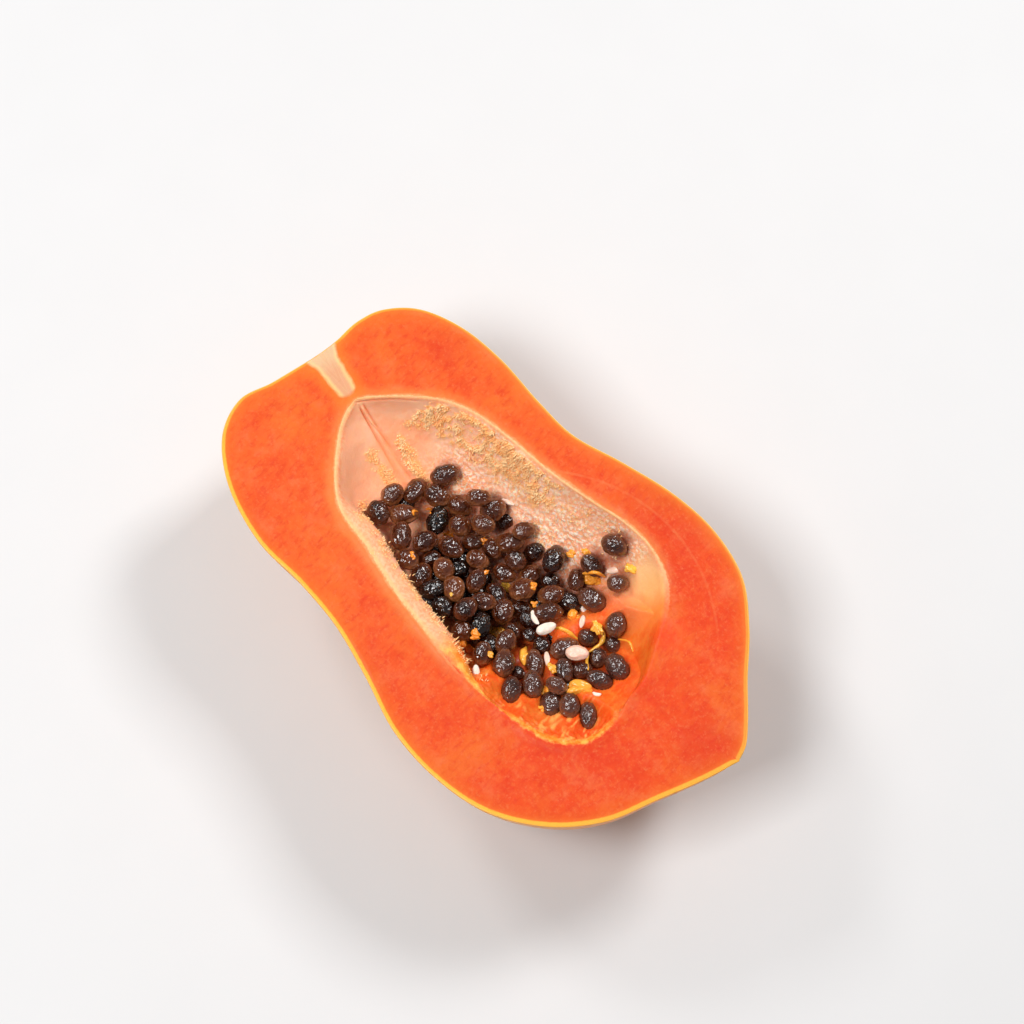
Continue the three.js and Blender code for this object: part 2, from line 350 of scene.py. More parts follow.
# Each row: near edge x and y, far edge x and y, depth under the cut face.
SKIN_STATIONS = np.array([
    [-82.4, 8.5, -80.2, 21, 8],
    [-84.8, -1, -79.9, 29, 17],
    [-88, -11.5, -76.8, 37.2, 28],
    [-84, -22.4, -69, 44.5, 37],
    [-72, -32, -56, 48.7, 44],
    [-54, -38, -41, 49.2, 48.6],
    [-37, -38.7, -24, 47.1, 51],
    [-21, -40.8, -10.5, 46.4, 52.2],
    [-5, -45.6, 6, 50.1, 52.6],
    [12, -51.6, 23, 53, 52.5],
    [29, -53.3, 38, 52.8, 51.2],
    [46, -50.8, 53, 48.2, 47.4],
    [61, -42.6, 64.5, 38.4, 39.6],
    [72.2, -30.4, 74, 27, 29],
    [79, -15.4, 81.6, 18.6, 17],
    [84.6, -2.4, 86.4, 12.4, 7.4],
])
HOLLOW_START = (-63.6, 11.6)
HOLLOW_END = (53.4, 0.6)
# The last two numbers say how full the section bulges on the near and on the far side.
HOLLOW_STATIONS = np.array([
    [-61, 4.2, -58, 17.6, 4.5, 1.5, 1.3],
    [-56.5, -2.6, -51.5, 23.6, 8.5, 1.5, 1.3],
    [-50, -10, -44, 28.8, 12.5, 1.7, 1.3],
    [-43, -14.8, -35, 31.8, 15.5, 2, 1.3],
    [-31, -17.4, -22, 33, 18, 2.3, 1.3],
    [-17, -21.2, -8, 33.4, 20, 2.5, 1.3],
    [-2, -24, 6, 35, 21, 2.6, 1.3],
    [14, -26.2, 19, 36.9, 20.5, 2.6, 1.35],
    [27, -26.6, 29, 36.2, 19, 2.5, 1.3],
    [38, -25, 37.5, 32, 17, 2.4, 1.15],
    [46.6, -22.2, 43.2, 25.5, 14, 2.3, 1.1],
    [52.4, -16.6, 47.6, 16.8, 10.5, 2.2, 1.2],
    [54.2, -8.6, 51.6, 8.4, 6.5, 2, 1.4],
])


def smooth_curve(points, shares):
    """A Catmull-Rom curve through the points, numbered evenly from 0 to 1. Between two points
    it is a cubic. Its slopes there come from the gaps, each the root of a distance."""
    padded = np.concatenate([[2 * points[0] - points[1]], points, [2 * points[-1] - points[-2]]])
    gaps = np.linalg.norm(np.diff(padded, axis=0), axis=1)[:, None] ** 0.5
    place = np.asarray(shares) * (len(points) - 1)
    before = np.minimum(place.astype(int), len(points) - 2)
    part = (place - before)[:, None]
    p0, p1, p2, p3 = (padded[before + i] for i in range(4))
    g0, g1, g2 = (gaps[before + i] for i in range(3))
    slope1 = ((p1 - p0) / g0 - (p2 - p0) / (g0 + g1) + (p2 - p1) / g1) * g1
    slope2 = ((p2 - p1) / g1 - (p3 - p1) / (g1 + g2) + (p3 - p2) / g2) * g1
    square = (3 * (p2 - p1) - 2 * slope1 - slope2) * part ** 2
    return p1 + slope1 * part + square + (2 * (p1 - p2) + slope1 + slope2) * part ** 3


def edge_curves(start, stations, end, shares):
    """The near and the far edge, each as x, y and the depth of the section below."""
    ends = np.array([[*start, 0.0], [*end, 0.0]])
    return [smooth_curve(np.concatenate([ends[:1], stations[:, [i, i + 1, 4]], ends[1:]]), shares)
            for i in (0, 2)]


def fullness_along(stations, column, shares):
    """The fullness changes evenly from one station to the next and is held at both ends."""
    place = np.clip(shares * (len(stations) + 1) - 1, 0, len(stations) - 1)
    return np.interp(place, np.arange(len(stations)), stations[:, column])


shares = np.linspace(0, 1, 401)
skin_near, skin_far = edge_curves(STEM_SCAR, SKIN_STATIONS, BLOSSOM_TIP, shares)
rim_near, rim_far = edge_curves(HOLLOW_START, HOLLOW_STATIONS, HOLLOW_END, shares)
print("the outline runs from x", skin_near[:, 0].min().round(1), "to", skin_near[:, 0].max().round(1))

# %% [markdown]
# Across a section the points are closest where the eye looks closest: at the rounded edges
# and on the far wall, which is in full view. A knife leaves the skin's edge about a third of
# a millimetre wide, the softer rim of the hollow about twice that, and the torn rim at the
# blossom end wider still. On the near side the lining swells into the hollow just under its
# rim. A list of depths and pushes gives the profile of this soft lip, and it runs only along
# the middle of the fruit.

# %% Sections across the half
def section(side, down, near_fullness, far_fullness):
    """Half of a superellipse: sideways is cos of the angle and down is sin of it, each to the
    power 2 over the fullness. A fullness of 2 is an ellipse, and more than 2 is boxier."""
    power = 2 / np.where(side > 0, far_fullness, near_fullness)
    return np.sign(side) * np.abs(side) ** power, np.clip(down, 0, None) ** power


def angles_at(distances, half_width, depth, near_fullness, far_fullness):
    """The angles that lie at the given distances from the far edge along a typical section.
    Distances count from 0 to 1 over its whole length."""
    angles = np.linspace(0, math.pi, 6001)
    across, down = section(np.cos(angles), np.sin(angles), near_fullness, far_fullness)
    steps = np.hypot(np.diff(across * half_width), np.diff(down * depth))
    length = np.concatenate([[0], np.cumsum(steps)])
    return np.interp(np.clip(distances, 0, 1) * length[-1], length, angles)


def loft(near, far, angles, near_fullness, far_fullness):
    """Every section hangs between its near and far edge point, as deep as their mean depth."""
    across, down = section(np.cos(angles)[None], np.sin(angles)[None],
                           near_fullness[:, None], far_fullness[:, None])
    depth = (near[:, 2:] + far[:, 2:]) / 2
    flat = (near + far)[:, None, :2] / 2 + across[..., None] * (far - near)[:, None, :2] / 2
    return np.concatenate([flat, (CUT_HEIGHT - down * depth)[..., None]], axis=-1)


def outward(near, far, angles):
    """The level direction out of the outline at each point: the edge's own direction turned
    by a right angle, blended from the near to the far edge."""
    near_way, far_way = np.gradient(near[:, :2], axis=0), np.gradient(far[:, :2], axis=0)
    near_out = np.stack([near_way[:, 1], -near_way[:, 0]], -1)
    far_out = np.stack([-far_way[:, 1], far_way[:, 0]], -1)
    near_out /= np.linalg.norm(near_out, axis=1, keepdims=True)
    far_out /= np.linalg.norm(far_out, axis=1, keepdims=True)
    far_part = ((1 + np.cos(angles)) / 2)[None, :, None]
    blend = far_out[:, None] * far_part + near_out[:, None] * (1 - far_part)
    return blend / np.maximum(np.linalg.norm(blend, axis=-1, keepdims=True), 1e-6)


def round_edge(grid, out, radius):
    """A quarter circle at the cut face: a point at a drop under the radius moves sideways by
    the radius minus the root of radius squared minus (radius minus drop) squared."""
    drop = CUT_HEIGHT - grid[..., 2]
    here = np.minimum(np.abs(radius), 0.4 * drop.max(axis=1, keepdims=True))
    curl = here - np.sqrt(np.clip(here ** 2 - np.clip(here - drop, 0, None) ** 2, 0, None))
    grid[..., :2] += (np.sign(radius) * curl)[..., None] * out


FAR_RIM_RADIUS = 0.6
NEAR_RIM_RADIUS = 0.8
BLOSSOM_RIM_RADIUS = 1.8
SKIN_EDGE_RADIUS = 0.35
LIP_DEPTHS = [0, 0.6, 1.2, 2.0, 2.8, 3.6, 4.4, 5.4, 7.5, 12]
LIP_PUSHES = [0, 1.4, 2.5, 3.6, 4.3, 4.7, 4.6, 4.0, 2.2, 0]
# Where the lip starts, is there, starts to fade and ends, as x along the near rim.
LIP_STRETCH = (-62, -56, 6, 24)
NEAR_WALL = (0.6, 0.9)
edge_rows = np.array([0, 0.0012, 0.0028, 0.005, 0.008])
hollow_steps = np.concatenate([edge_rows, np.linspace(0.013, 0.27, 52), np.linspace(0.285, 0.82, 38),
                               np.linspace(0.832, 0.987, 22), 1 - edge_rows[::-1]])
hollow_angles = angles_at(hollow_steps, 29, 20.5, 2.5, 1.3)
hollow = loft(rim_near, rim_far, hollow_angles,
              fullness_along(HOLLOW_STATIONS, 5, shares), fullness_along(HOLLOW_STATIONS, 6, shares))
hollow_out = outward(rim_near, rim_far, hollow_angles)
near_part = (1 - np.cos(hollow_angles))[None] / 2
on_near_wall = fade(near_part, *NEAR_WALL)
blossom_part = fade(rim_far[:, :1] + rim_near[:, :1], 50, 90)
rim_radius = FAR_RIM_RADIUS + (NEAR_RIM_RADIUS - FAR_RIM_RADIUS) * near_part
rim_radius = rim_radius + (BLOSSOM_RIM_RADIUS - rim_radius) * blossom_part
round_edge(hollow, hollow_out, rim_radius)

near_x = rim_near[:, :1]
lip_reach = (0.2 + 0.8 * fade(near_x, -50, -36)) * within(near_x, *LIP_STRETCH)
lip_push = np.interp(CUT_HEIGHT - hollow[..., 2], LIP_DEPTHS, LIP_PUSHES) * lip_reach
hollow[..., :2] -= (lip_push * on_near_wall)[..., None] * hollow_out

skin_rows = np.array([0, 0.0006, 0.0013, 0.0022])
skin_steps = np.concatenate([skin_rows, np.linspace(0.006, 0.994, 48), 1 - skin_rows[::-1]])
skin_angles = angles_at(skin_steps, 50, 52, 2, 2)
round_fullness = np.full(len(shares), 2.0)
skin = loft(skin_near, skin_far, skin_angles, round_fullness, round_fullness)
skin_out = outward(skin_near, skin_far, skin_angles)
round_edge(skin, skin_out, -SKIN_EDGE_RADIUS)
print("hollow", hollow.shape, "and skin", skin.shape)

# %% [markdown]
# The seeds are already in place, and the lining has to fit them, so they are measured first.
# The points of each give its middle, the way it lies and its size.

# %% Measure the seeds
def measured_axes(node):
    """The middle of a node, its three main directions, longest first, and its half sizes
    along them, from the spread of its points."""
    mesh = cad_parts[node].data
    points = np.empty(len(mesh.vertices) * 3, np.float32)
    mesh.vertices.foreach_get("co", points)
    points = points.reshape(-1, 3).astype(float) / MM
    middle = (points.min(0) + points.max(0)) / 2
    spread = np.linalg.eigh((points - middle).T @ (points - middle))[1][:, ::-1].T
    strongest = np.argmax(np.abs(spread), axis=1)
    spread *= np.sign(spread[range(3), strongest])[:, None]
    spread[2] = np.cross(spread[0], spread[1])
    return middle, spread, np.abs((points - middle) @ spread.T).max(0)


seed_names = sorted(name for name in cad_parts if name.startswith("seed_"))
seed_measures = {name: measured_axes(name) for name in seed_names}
seed_places = np.array([seed_measures[name][0] for name in seed_names])
print(len(seed_names), "seeds, their middles from", seed_places[:, 2].min().round(1),
      "to", seed_places[:, 2].max().round(1), "mm up")

# %% [markdown]
# Smaller seeds show in the gaps between those, some of them deeper down. Each was read off
# in the photograph where it shows, at the height of the heap. Then it is moved down along
# the line of sight, so it still shows in the same gap.

# %% Places of the small seeds in the gaps
# Each row: x, y, length, width, turn in degrees, and how dark from 0 to 1.
GAP_SEEDS = [
    (-16.7, -6.3, 4.8, 3.5, 60, 0.3), (-9.6, 17.3, 5.4, 4.4, 80, 0.3), (2.7, 16.2, 5.8, 5.0, 70, 0.2),
    (-6.5, 8.1, 6.0, 4.5, -10, 0.4), (12.3, 12.7, 5.0, 4.5, 20, 0.25), (1.25, 5.0, 6.4, 4.6, 15, 0.4),
    (-11.9, 6.0, 5.6, 5.0, 60, 0.35), (-8.8, -3.2, 5.0, 4.4, 20, 0.02), (4.0, -1.1, 6.5, 4.6, -10, 0.3),
    (14.9, -6.1, 4.4, 3.0, 0, 0.3), (38.4, 10.8, 4.4, 4.0, 0, 0.35), (31.75, 7.3, 5.3, 4.7, 30, 0.35),
    (38.0, 4.8, 5.0, 4.2, -60, 0.35), (37.25, -1.3, 5.4, 4.4, 50, 0.4), (23.75, -3.5, 4.6, 4.4, 0, 0.25),
    (19.25, -3.8, 3.8, 3.4, 0, 0.25), (24.75, -14.25, 3.4, 2.8, 0, 0.3), (22.5, 31.0, 3.2, 2.6, 20, 0.1),
    (15.7, -0.3, 6.0, 5.0, 20, 0.2), (20.5, 12.0, 7.0, 5.0, 20, 0.15),
]
GAP_SEED_DROP = 1.6
GAP_SEED_THICKNESS = 0.95
SIGHT_LEAN = -towards_camera[:2] / towards_camera[2]


def heap_depth(x, y):
    """How far the heap's top lies under the cut face: 3 mm on the near side and deeper
    towards the far wall, with the ends a little higher."""
    slope = 10.5 + 0.2 * y - 0.1 * np.maximum(0, x - 25) - 0.12 * np.maximum(0, -25 - x)
    return np.maximum(3, slope)


def level_axes(turn, tilt=0.0):
    """Three directions of a seed whose long one is turned about the upright and tilted."""
    turn, tilt = math.radians(turn), math.radians(tilt)
    level = math.cos(tilt)
    long_way = np.array([math.cos(turn) * level, math.sin(turn) * level, math.sin(tilt)])
    side_way = np.array([-math.sin(turn), math.cos(turn), 0])
    return np.array([long_way, side_way, np.cross(long_way, side_way)])


def sunk(x, y, drop):
    """The place on the line of sight through x, y on the heap, a drop lower."""
    return np.array([x + SIGHT_LEAN[0] * drop, y + SIGHT_LEAN[1] * drop,
                     CUT_HEIGHT - heap_depth(x, y) - drop])


def gap_seed(row):
    """The middle, the directions and the half sizes of a small seed."""
    gx, gy, length, width, turn, _ = row
    halves = np.array([length, width, GAP_SEED_THICKNESS * width]) / 2
    return sunk(gx, gy, GAP_SEED_DROP), level_axes(turn), halves


print("the first small seed is at", gap_seed(GAP_SEEDS[0])[0].round(1))

# %% [markdown]
# The relief of the lining is made of masks: numbers from 0 to 1, one for each point of the
# hollow's grid. Most of them follow the distance from the rim, along the wall or straight
# across, or the distance to the nearest seed, so these are worked out first.

# %% Distances on the lining
def unit(vectors):
    """Each vector divided by its length."""
    return vectors / np.maximum(np.linalg.norm(vectors, axis=-1, keepdims=True), 1e-9)


def grid_normals(grid):
    """At right angles to both directions of the grid."""
    return unit(np.cross(np.gradient(grid, axis=0), np.gradient(grid, axis=1)))


def bump_at(value, middle, width):
    """A bell: 1 at the middle, falling as e to the minus square of the distance in widths."""
    return np.exp(-((value - middle) / width) ** 2)


def run_along(grid):
    """The distance in mm from the far rim to each point, along its section."""
    steps = np.linalg.norm(np.diff(grid, axis=1), axis=-1)
    return np.concatenate([np.zeros((len(grid), 1)), np.cumsum(steps, axis=1)], axis=1)


SEED_REACH = 3.1
CROWD_REACH = 5.0

from_far = run_along(hollow)
from_near = from_far[:, -1:] - from_far
from_rim = np.minimum(from_far, from_near)
x, y = hollow[..., 0], hollow[..., 1]
rim_loop = np.concatenate([hollow[:, 0, :2], hollow[::-1, -1, :2]])
off_rim = np.array([np.linalg.norm(row[:, None, :2] - rim_loop[None], axis=-1).min(1) for row in hollow])
to_seeds = np.linalg.norm(hollow[:, :, None] - seed_places[None, None], axis=-1).min(-1) - SEED_REACH
heap = np.concatenate([seed_places[:, :2], [gap_seed(row)[0][:2] for row in GAP_SEEDS]])
crowd = np.exp(-np.sum((hollow[:, :, None, :2] - heap) ** 2, axis=-1) / CROWD_REACH ** 2).sum(-1)
among_seeds = fade(crowd, 1.1, 1.9)
print("the hollow is", off_rim.max().round(1), "mm wide from its middle to its rim")

# %% [markdown]
# At the blossom end the half wasn't scooped clean: torn pulp fills the hollow up to the
# seeds. It stands just under the cut face at the rim and sinks slowly away from it. Round
# each seed it forms a cup, and the lowest of all the cups is taken at every point. Only on
# the near side is it ragged. On the far side a smooth pale scoop shows, and the cut flesh
# runs on as far as the seeds.

# %% Pulp round the seeds
SCOOP = (33.0, 31.0)
SCOOP_SIZE = 9.0
CUP_GAP, CUP_LIFT, CUP_SLOPE = 0.35, 1.2, 0.95
PULP_DROP = 0.3
PULP_SLOPE, SCOOP_SLOPE = 0.11, 0.21
HEAP_SINK = 1.8
RAGGED_Y = (-15, -2)
RIM_LENGTH = 150.0


def cup_height(middle, axes, halves):
    """How high the pulp may stand round a seed. Under the seed it is the underside of an
    ellipsoid, a root of 1 minus reach squared. Beyond, it rises with the distance."""
    spread = axes.T @ np.diag((halves + CUP_GAP) ** 2) @ axes
    offset = hollow[..., :2] - middle[:2]
    reach = np.sqrt(np.einsum("...i,ij,...j", offset, np.linalg.inv(spread[:2, :2]), offset))
    under = CUP_LIFT - np.sqrt(spread[2, 2] * np.clip(1 - reach ** 2, 0, None))
    return middle[2] + under + CUP_SLOPE * halves.mean() * np.clip(reach - 1, 0, None)


scoop = bump_at(x, SCOOP[0], SCOOP_SIZE) * bump_at(y, SCOOP[1], SCOOP_SIZE)
pulp = fade(x - 0.3 * y, 12, 28)
ragged = (1 - scoop) * (0.12 + 0.88 * (1 - fade(y, *RAGGED_Y)))
clouds = soft_noise(hollow, 5.5, 11)
torn = soft_noise(hollow * np.array([1, 1, 0.4]), 2.6, 12)
bent = 2.2 * soft_noise(hollow, 3.4, 19)
along_rim = RIM_LENGTH * shares[:, None] + bent
streaks = 0.6 * soft_noise(np.stack([along_rim, 0.4 * off_rim + bent, clouds], -1), 1.7, 17)
streaks = streaks + 0.5 * soft_noise(np.stack([along_rim, 0.5 * off_rim, clouds + bent], -1), 0.9, 18)

cups = [cup_height(*measure) for measure in seed_measures.values()]
cups += [cup_height(*gap_seed(row)) for row in GAP_SEEDS]
cup_top = np.minimum.reduce(cups) + 0.3 * torn * ragged - HEAP_SINK * among_seeds
pulp_top = CUT_HEIGHT - PULP_DROP - (PULP_SLOPE + SCOOP_SLOPE * scoop) * off_rim
pulp_top = np.minimum(pulp_top + 0.7 * torn * ragged * fade(off_rim, 0.8, 3.5), cup_top)
hollow[..., 2] += np.clip(pulp_top - hollow[..., 2], 0, None) * pulp
print("pulp fills", round(float((pulp > 0.5).mean()) * 100), "percent of the hollow's grid")

# %% [markdown]
# A double ridge runs down from the stem end of the hollow, where the seeds' strings grew
# together. Two patches beside it and a wide band along the far rim carry a beady yellow
# fuzz, the stubs of those strings. One number per point says how fuzzy the lining is there.
# It lifts the grains, colours them, and later says where loose stubs grow. Lower on the far
# wall the grains are finer, like sugar, with whitish tops that are painted highlights and
# orange between them that is painted shade.

# %% Where the fuzz grows
RIDGE_TOP = np.array([-62.5, 12.0])
RIDGE_FOOT = np.array([-41.0, 7.4])
# For each kind of fuzz: where it starts, is full, starts to thin and ends, as x in mm.
FAR_BAND = (-52, -48, 22, 32)
NEAR_BAND = (-48, -38, 12, 24)
STRAY_FUZZ = (-46, -30, 0, 12)
SUGAR = (-44, -24, 24, 33)
# The same for the run down the ridge and down the near wall.
PATCH_RUN = (9, 15, 24, 31)
NEAR_BAND_RUN = (2.5, 4.5, 6.5, 8.5)

ridge_way = (RIDGE_FOOT - RIDGE_TOP) / np.linalg.norm(RIDGE_FOOT - RIDGE_TOP)
down_ridge = (x - RIDGE_TOP[0]) * ridge_way[0] + (y - RIDGE_TOP[1]) * ridge_way[1]
off_ridge = (y - RIDGE_TOP[1]) * ridge_way[0] - (x - RIDGE_TOP[0]) * ridge_way[1]

clumps = fade(soft_noise(hollow, 1.4, 13) + 0.4 * clouds, -0.6, 0.4)
far_band = (fade(from_far, 1.2, 2.2) * (1 - fade(from_far + 3 * clouds, 8.0, 17.0))
            * within(x, *FAR_BAND) * (1 - 0.75 * fade(x, -14, 4)))
ridge_patches = (within(down_ridge, *PATCH_RUN) * fade(abs(off_ridge), 2.0, 3.0)
                 * (1 - fade(abs(off_ridge) + 1.5 * clouds, 4.5, 8.5)))
near_band = within(from_near, *NEAR_BAND_RUN) * within(x, *NEAR_BAND)
stray = 0.25 * fade(clouds, 0.0, 0.5) * fade(from_far, 3, 6) * within(x, *STRAY_FUZZ)
fuzz = np.maximum.reduce([far_band, 0.85 * ridge_patches, 0.42 * near_band, stray])
fuzz = np.clip(fuzz, 0, 1) * (0.12 + 0.88 * clumps)
sugar = (within(x, *SUGAR) * fade(from_far, 0.8, 2.0)
         * (1 - fade(near_part, 0.45, 0.75)) * (0.55 + 0.45 * fade(clouds, -0.5, 0.3)))
print("the fuzz covers", round(float((fuzz > 0.3).mean()) * 100), "percent of the lining")

# %% [markdown]
# Now everything that stands out of the lining or sinks into it is added up, in mm, and the
# points move by the sum at right angles to the surface. At the rim the sum fades to nothing,
# so that the cut face still meets it.

# %% Relief of the lining
on_ridge = within(down_ridge, 0.3, 2, 20, 27)
crease = on_ridge * bump_at(abs(off_ridge), 0.6 + 0.03 * down_ridge, 0.3)
facet = bump_at(from_far, 1.9, 0.4) * (1 - fade(x, -53, -48))
ridge = 0.5 * on_ridge * bump_at(off_ridge, 0, 0.7) - 0.6 * crease
beads = fuzz * (0.5 * grains(hollow, 1.2, 5) + 0.25 * grains(hollow, 0.8, 6))
fine_beads = sugar * (0.45 * grains(hollow, 1.0, 15) + 0.14 * soft_noise(hollow, 0.6, 16))
lip_beads = 0.3 * on_near_wall * fade(from_near, 0.8, 2) * fade(x, -48, -36) * grains(hollow, 1.0, 25)
swell = 0.3 * soft_noise(hollow, 8, 7) + 0.09 * soft_noise(hollow, 2.2, 8)
frayed = pulp * ragged * within(off_rim, 0.6, 3, 9, 16) * (1 - among_seeds)
lift = ridge - 0.3 * facet + beads + fine_beads + swell + lip_beads + 0.22 * frayed * streaks
lift = lift * fade(from_rim, 0.35, 1.6) * (1 - pulp * (1 - fade(off_rim, 0.4, 2.0)))
into_hollow = grid_normals(hollow)
into_hollow *= np.sign(into_hollow[200, 60, 2])
hollow = hollow + lift[..., None] * into_hollow
print("the relief runs from", lift.min().round(2), "to", lift.max().round(2), "mm")

# %% [markdown]
# Three more masks are only for colour. The lining is cream except at the blossom end, the
# fibres of the torn pulp are paler than the rest, and what lies close to the seeds, and among
# them in the heap, is a dark reddish brown: partly the stain of the seeds' juice and partly
# painted shade of the heap.

# %% Masks for the colours
cream = 1 - fade(x - 0.45 * y, 8, 20) * (1 - scoop)
fibre = frayed * fade(streaks + 0.5 * torn, 0.0, 0.7)
# Partly juice stain, partly painted shade: darker close to the seeds and among them in the heap.
stain = (1 - fade(to_seeds + 0.8 * clouds, 0.3, 3.6)) * fade(from_rim, 0.5, 3) * (1 - 0.8 * pulp)
stain = np.maximum(stain * (1 - 0.35 * on_near_wall), 0.85 * among_seeds)
print("juice stains", round(float((stain > 0.3).mean()) * 100), "percent of the lining")

# %% [markdown]
# The skin has five low lobes, as the fruit grew from five parts, and is a little dented.
# The stem left a corky hollow scar, and the dried flower a small brown tip. All of it sinks
# into the measured shape, never out of it, so the fruit keeps its size and its flat spot.

# %% Lobes and scars of the skin
LOBES = 5
FIRST_LOBE = 0.35
LOBE_DEPTH = 0.55
DENT_DEPTH = 0.35
SCAR_DEPTH, TIP_DEPTH = 1.3, 0.5
SCAR_RADIUS = 6.2
TIP_RADIUS = 3.2

skin_drop = CUT_HEIGHT - skin[..., 2]
off_edge = fade(skin_drop, 0.5, 9)
off_floor = fade(skin[..., 2], 0.05, 3)
waist = fade(shares, 0.02, 0.2) * (1 - 0.5 * fade(shares, 0.75, 0.98))
lobe = 0.5 - 0.5 * np.cos(2 * LOBES * (skin_angles[None] - FIRST_LOBE))
blossom_lobes = 1 + 1.6 * bump_at(shares, 0.88, 0.12)
to_scar = np.linalg.norm(skin - np.array([*STEM_SCAR, CUT_HEIGHT]), axis=-1)
to_tip = np.linalg.norm(skin - np.array([*BLOSSOM_TIP, CUT_HEIGHT]), axis=-1)
scar_sink = SCAR_DEPTH * (1 - fade(to_scar, 3.6, SCAR_RADIUS)) * fade(skin_drop, 0.2, 1.6)
tip_sink = TIP_DEPTH * bump_at(to_tip, TIP_RADIUS, 1.1) * fade(skin_drop, 0.2, 1.6)
dents = DENT_DEPTH * (0.5 + 0.5 * soft_noise(skin, 16, 21)) + 0.05 * (1 + soft_noise(skin, 3, 22))
sink = off_edge * off_floor * (LOBE_DEPTH * lobe * (waist * blossom_lobes)[:, None] + dents)
sink += scar_sink + tip_sink
out_of_skin = grid_normals(skin)
out_of_skin *= -np.sign(out_of_skin[200, 28, 2])
skin = skin - sink[..., None] * out_of_skin
skin[..., 2] = np.clip(skin[..., 2], 0, CUT_HEIGHT)
print("the skin sinks by up to", sink.max().round(2), "mm")

# %% [markdown]
# The cut face joins the rim of the hollow to the edge of the skin. Its points crowd towards
# both, where the colour changes fastest. A knife leaves it nearly flat, and the ripple sinks
# a fraction of a millimetre, never at the edges.

# %% Cut face
radial = (1 - np.cos(np.linspace(0, math.pi, 27))) / 2


def cut_strip(column, edge_out):
    """Straight lines from the hollow's rim to the skin's edge, one for each share, with the
    distance from either edge measured along that edge's outward direction."""
    rim, edge = hollow[:, column], skin[:, column]
    strip = rim[:, None] + radial[None, :, None] * (edge - rim)[:, None]
    rim_gap = np.sum((strip - rim[:, None])[..., :2] * hollow_out[:, column][:, None], -1)
    rind_gap = np.sum((edge[:, None] - strip)[..., :2] * edge_out[:, None], -1)
    inside = fade(rim_gap, 0.3, 2.5) * fade(rind_gap, 0.3, 2.0)
    ripple = 0.10 * soft_noise(strip, 4, 31) + 0.16 * soft_noise(strip, 14, 32) - 0.2
    strip[..., 2] += ripple * inside
    return strip, rim_gap, rind_gap


far_cut, far_rim_gap, far_rind_gap = cut_strip(0, skin_out[:, 0])
near_cut, near_rim_gap, near_rind_gap = cut_strip(-1, skin_out[:, -1])

half_grids = [hollow, skin, far_cut, near_cut]
half_points, half_faces = joined(half_grids)
skin_face = np.zeros(len(half_faces))
first_skin_face = (hollow.shape[0] - 1) * (hollow.shape[1] - 1)
skin_face[first_skin_face:first_skin_face + (skin.shape[0] - 1) * (skin.shape[1] - 1)] = 1


def over_half(hollow_value, skin_value, far_value, near_value):
    """One number for each point of the half, from a number or an array for each grid."""
    parts = (hollow_value, skin_value, far_value, near_value)
    return np.concatenate([np.broadcast_to(part, grid.shape[:2]).ravel()
                           for part, grid in zip(parts, half_grids)])


rim_cream = 1 - fade(rim_far[:, :1], 28, 44), 1 - fade(rim_near[:, :1], 2, 22)
half_values = {
    "cream": over_half(cream, 0, 0, 0),
    "fuzz": over_half(fuzz, 0, 0, 0),
    "sugar": over_half(sugar, 0, 0, 0),
    "stain": over_half(stain, 0, 0, 0),
    "fibre": over_half(fibre, 0, 0, 0),
    # This mask carries painted shade: the colour is darker in the ridge's grooves and along the thin
    # line under the far rim.
    "crease": over_half(np.clip(crease + 0.5 * facet, 0, 1), 0, 0, 0),
    "rim_cream": over_half(1 - fade(x - 0.45 * y, 8, 26), 0, *rim_cream),
    "rim_gap": over_half(-from_rim, 60, far_rim_gap, near_rim_gap),
    "rind_gap": over_half(60, -skin_drop, far_rind_gap, near_rind_gap),
    "near_side": over_half(near_part, 0, (1 - skin_out[:, 0, 1:]) / 2, (1 - skin_out[:, -1, 1:]) / 2),
}
print("the half has", len(half_faces), "faces before it is welded")

# %% [markdown]
# Ripe flesh is moist, and light goes a little way into it, which the shader's subsurface
# gives. Its colour is never even: cloudy patches, short fibres, and a deeper red towards the
# blossom end. The masks come from the numbers that the mesh keeps, and the clouds from the
# point's place. All of them are gathered once, for the functions that follow.

# %% Colour of the cut flesh
HALF_VALUES = ("cream", "fuzz", "sugar", "stain", "fibre", "crease", "rim_gap", "rind_gap",
               "near_side", "rim_cream")
# Soft red patches: x, y, size and strength.
RED_PATCHES = [(80, 5, 14, 0.8), (-55, 43, 12, 0.4), (46, -16, 12, 1.0), (25, 48, 20, 0.5)]
VEIN_MIDDLE = (23.9, -5.3)
VEIN_RADIUS = 50.5


def flesh_masks(finish):
    """The numbers of the mesh and the noises that the colours of the flesh are mixed by."""
    masks = types.SimpleNamespace(**{name: finish.value(name) for name in HALF_VALUES})
    masks.place = finish.place()
    masks.along, masks.across = finish.apart(masks.place)
    masks.inward = masks.rim_gap * -1
    masks.clouds = finish.noise(masks.place, 11, detail=3)
    masks.mottle = finish.noise(masks.place, 2.6, detail=5, roughness=0.65)
    masks.specks = finish.noise(masks.place, 0.9, detail=2)
    masks.fibres = finish.noise(finish.place((1, 0.35, 1)), 1.4, detail=4, roughness=0.6)
    masks.grain = masks.specks.fade(0.42, 0.62)
    masks.bead = finish.cells(masks.place, 1.0).fade(0.15, 0.6)
    return masks


def patch(masks, x, y, size):
    """A soft patch, 1 in the middle and 0 beyond its size, with an edge that wanders."""
    reach = ((masks.along - x) ** 2.0 + (masks.across - y) ** 2.0) ** 0.5 + masks.clouds * 12 - 6
    return 1 - reach.fade(size * 0.2, size)


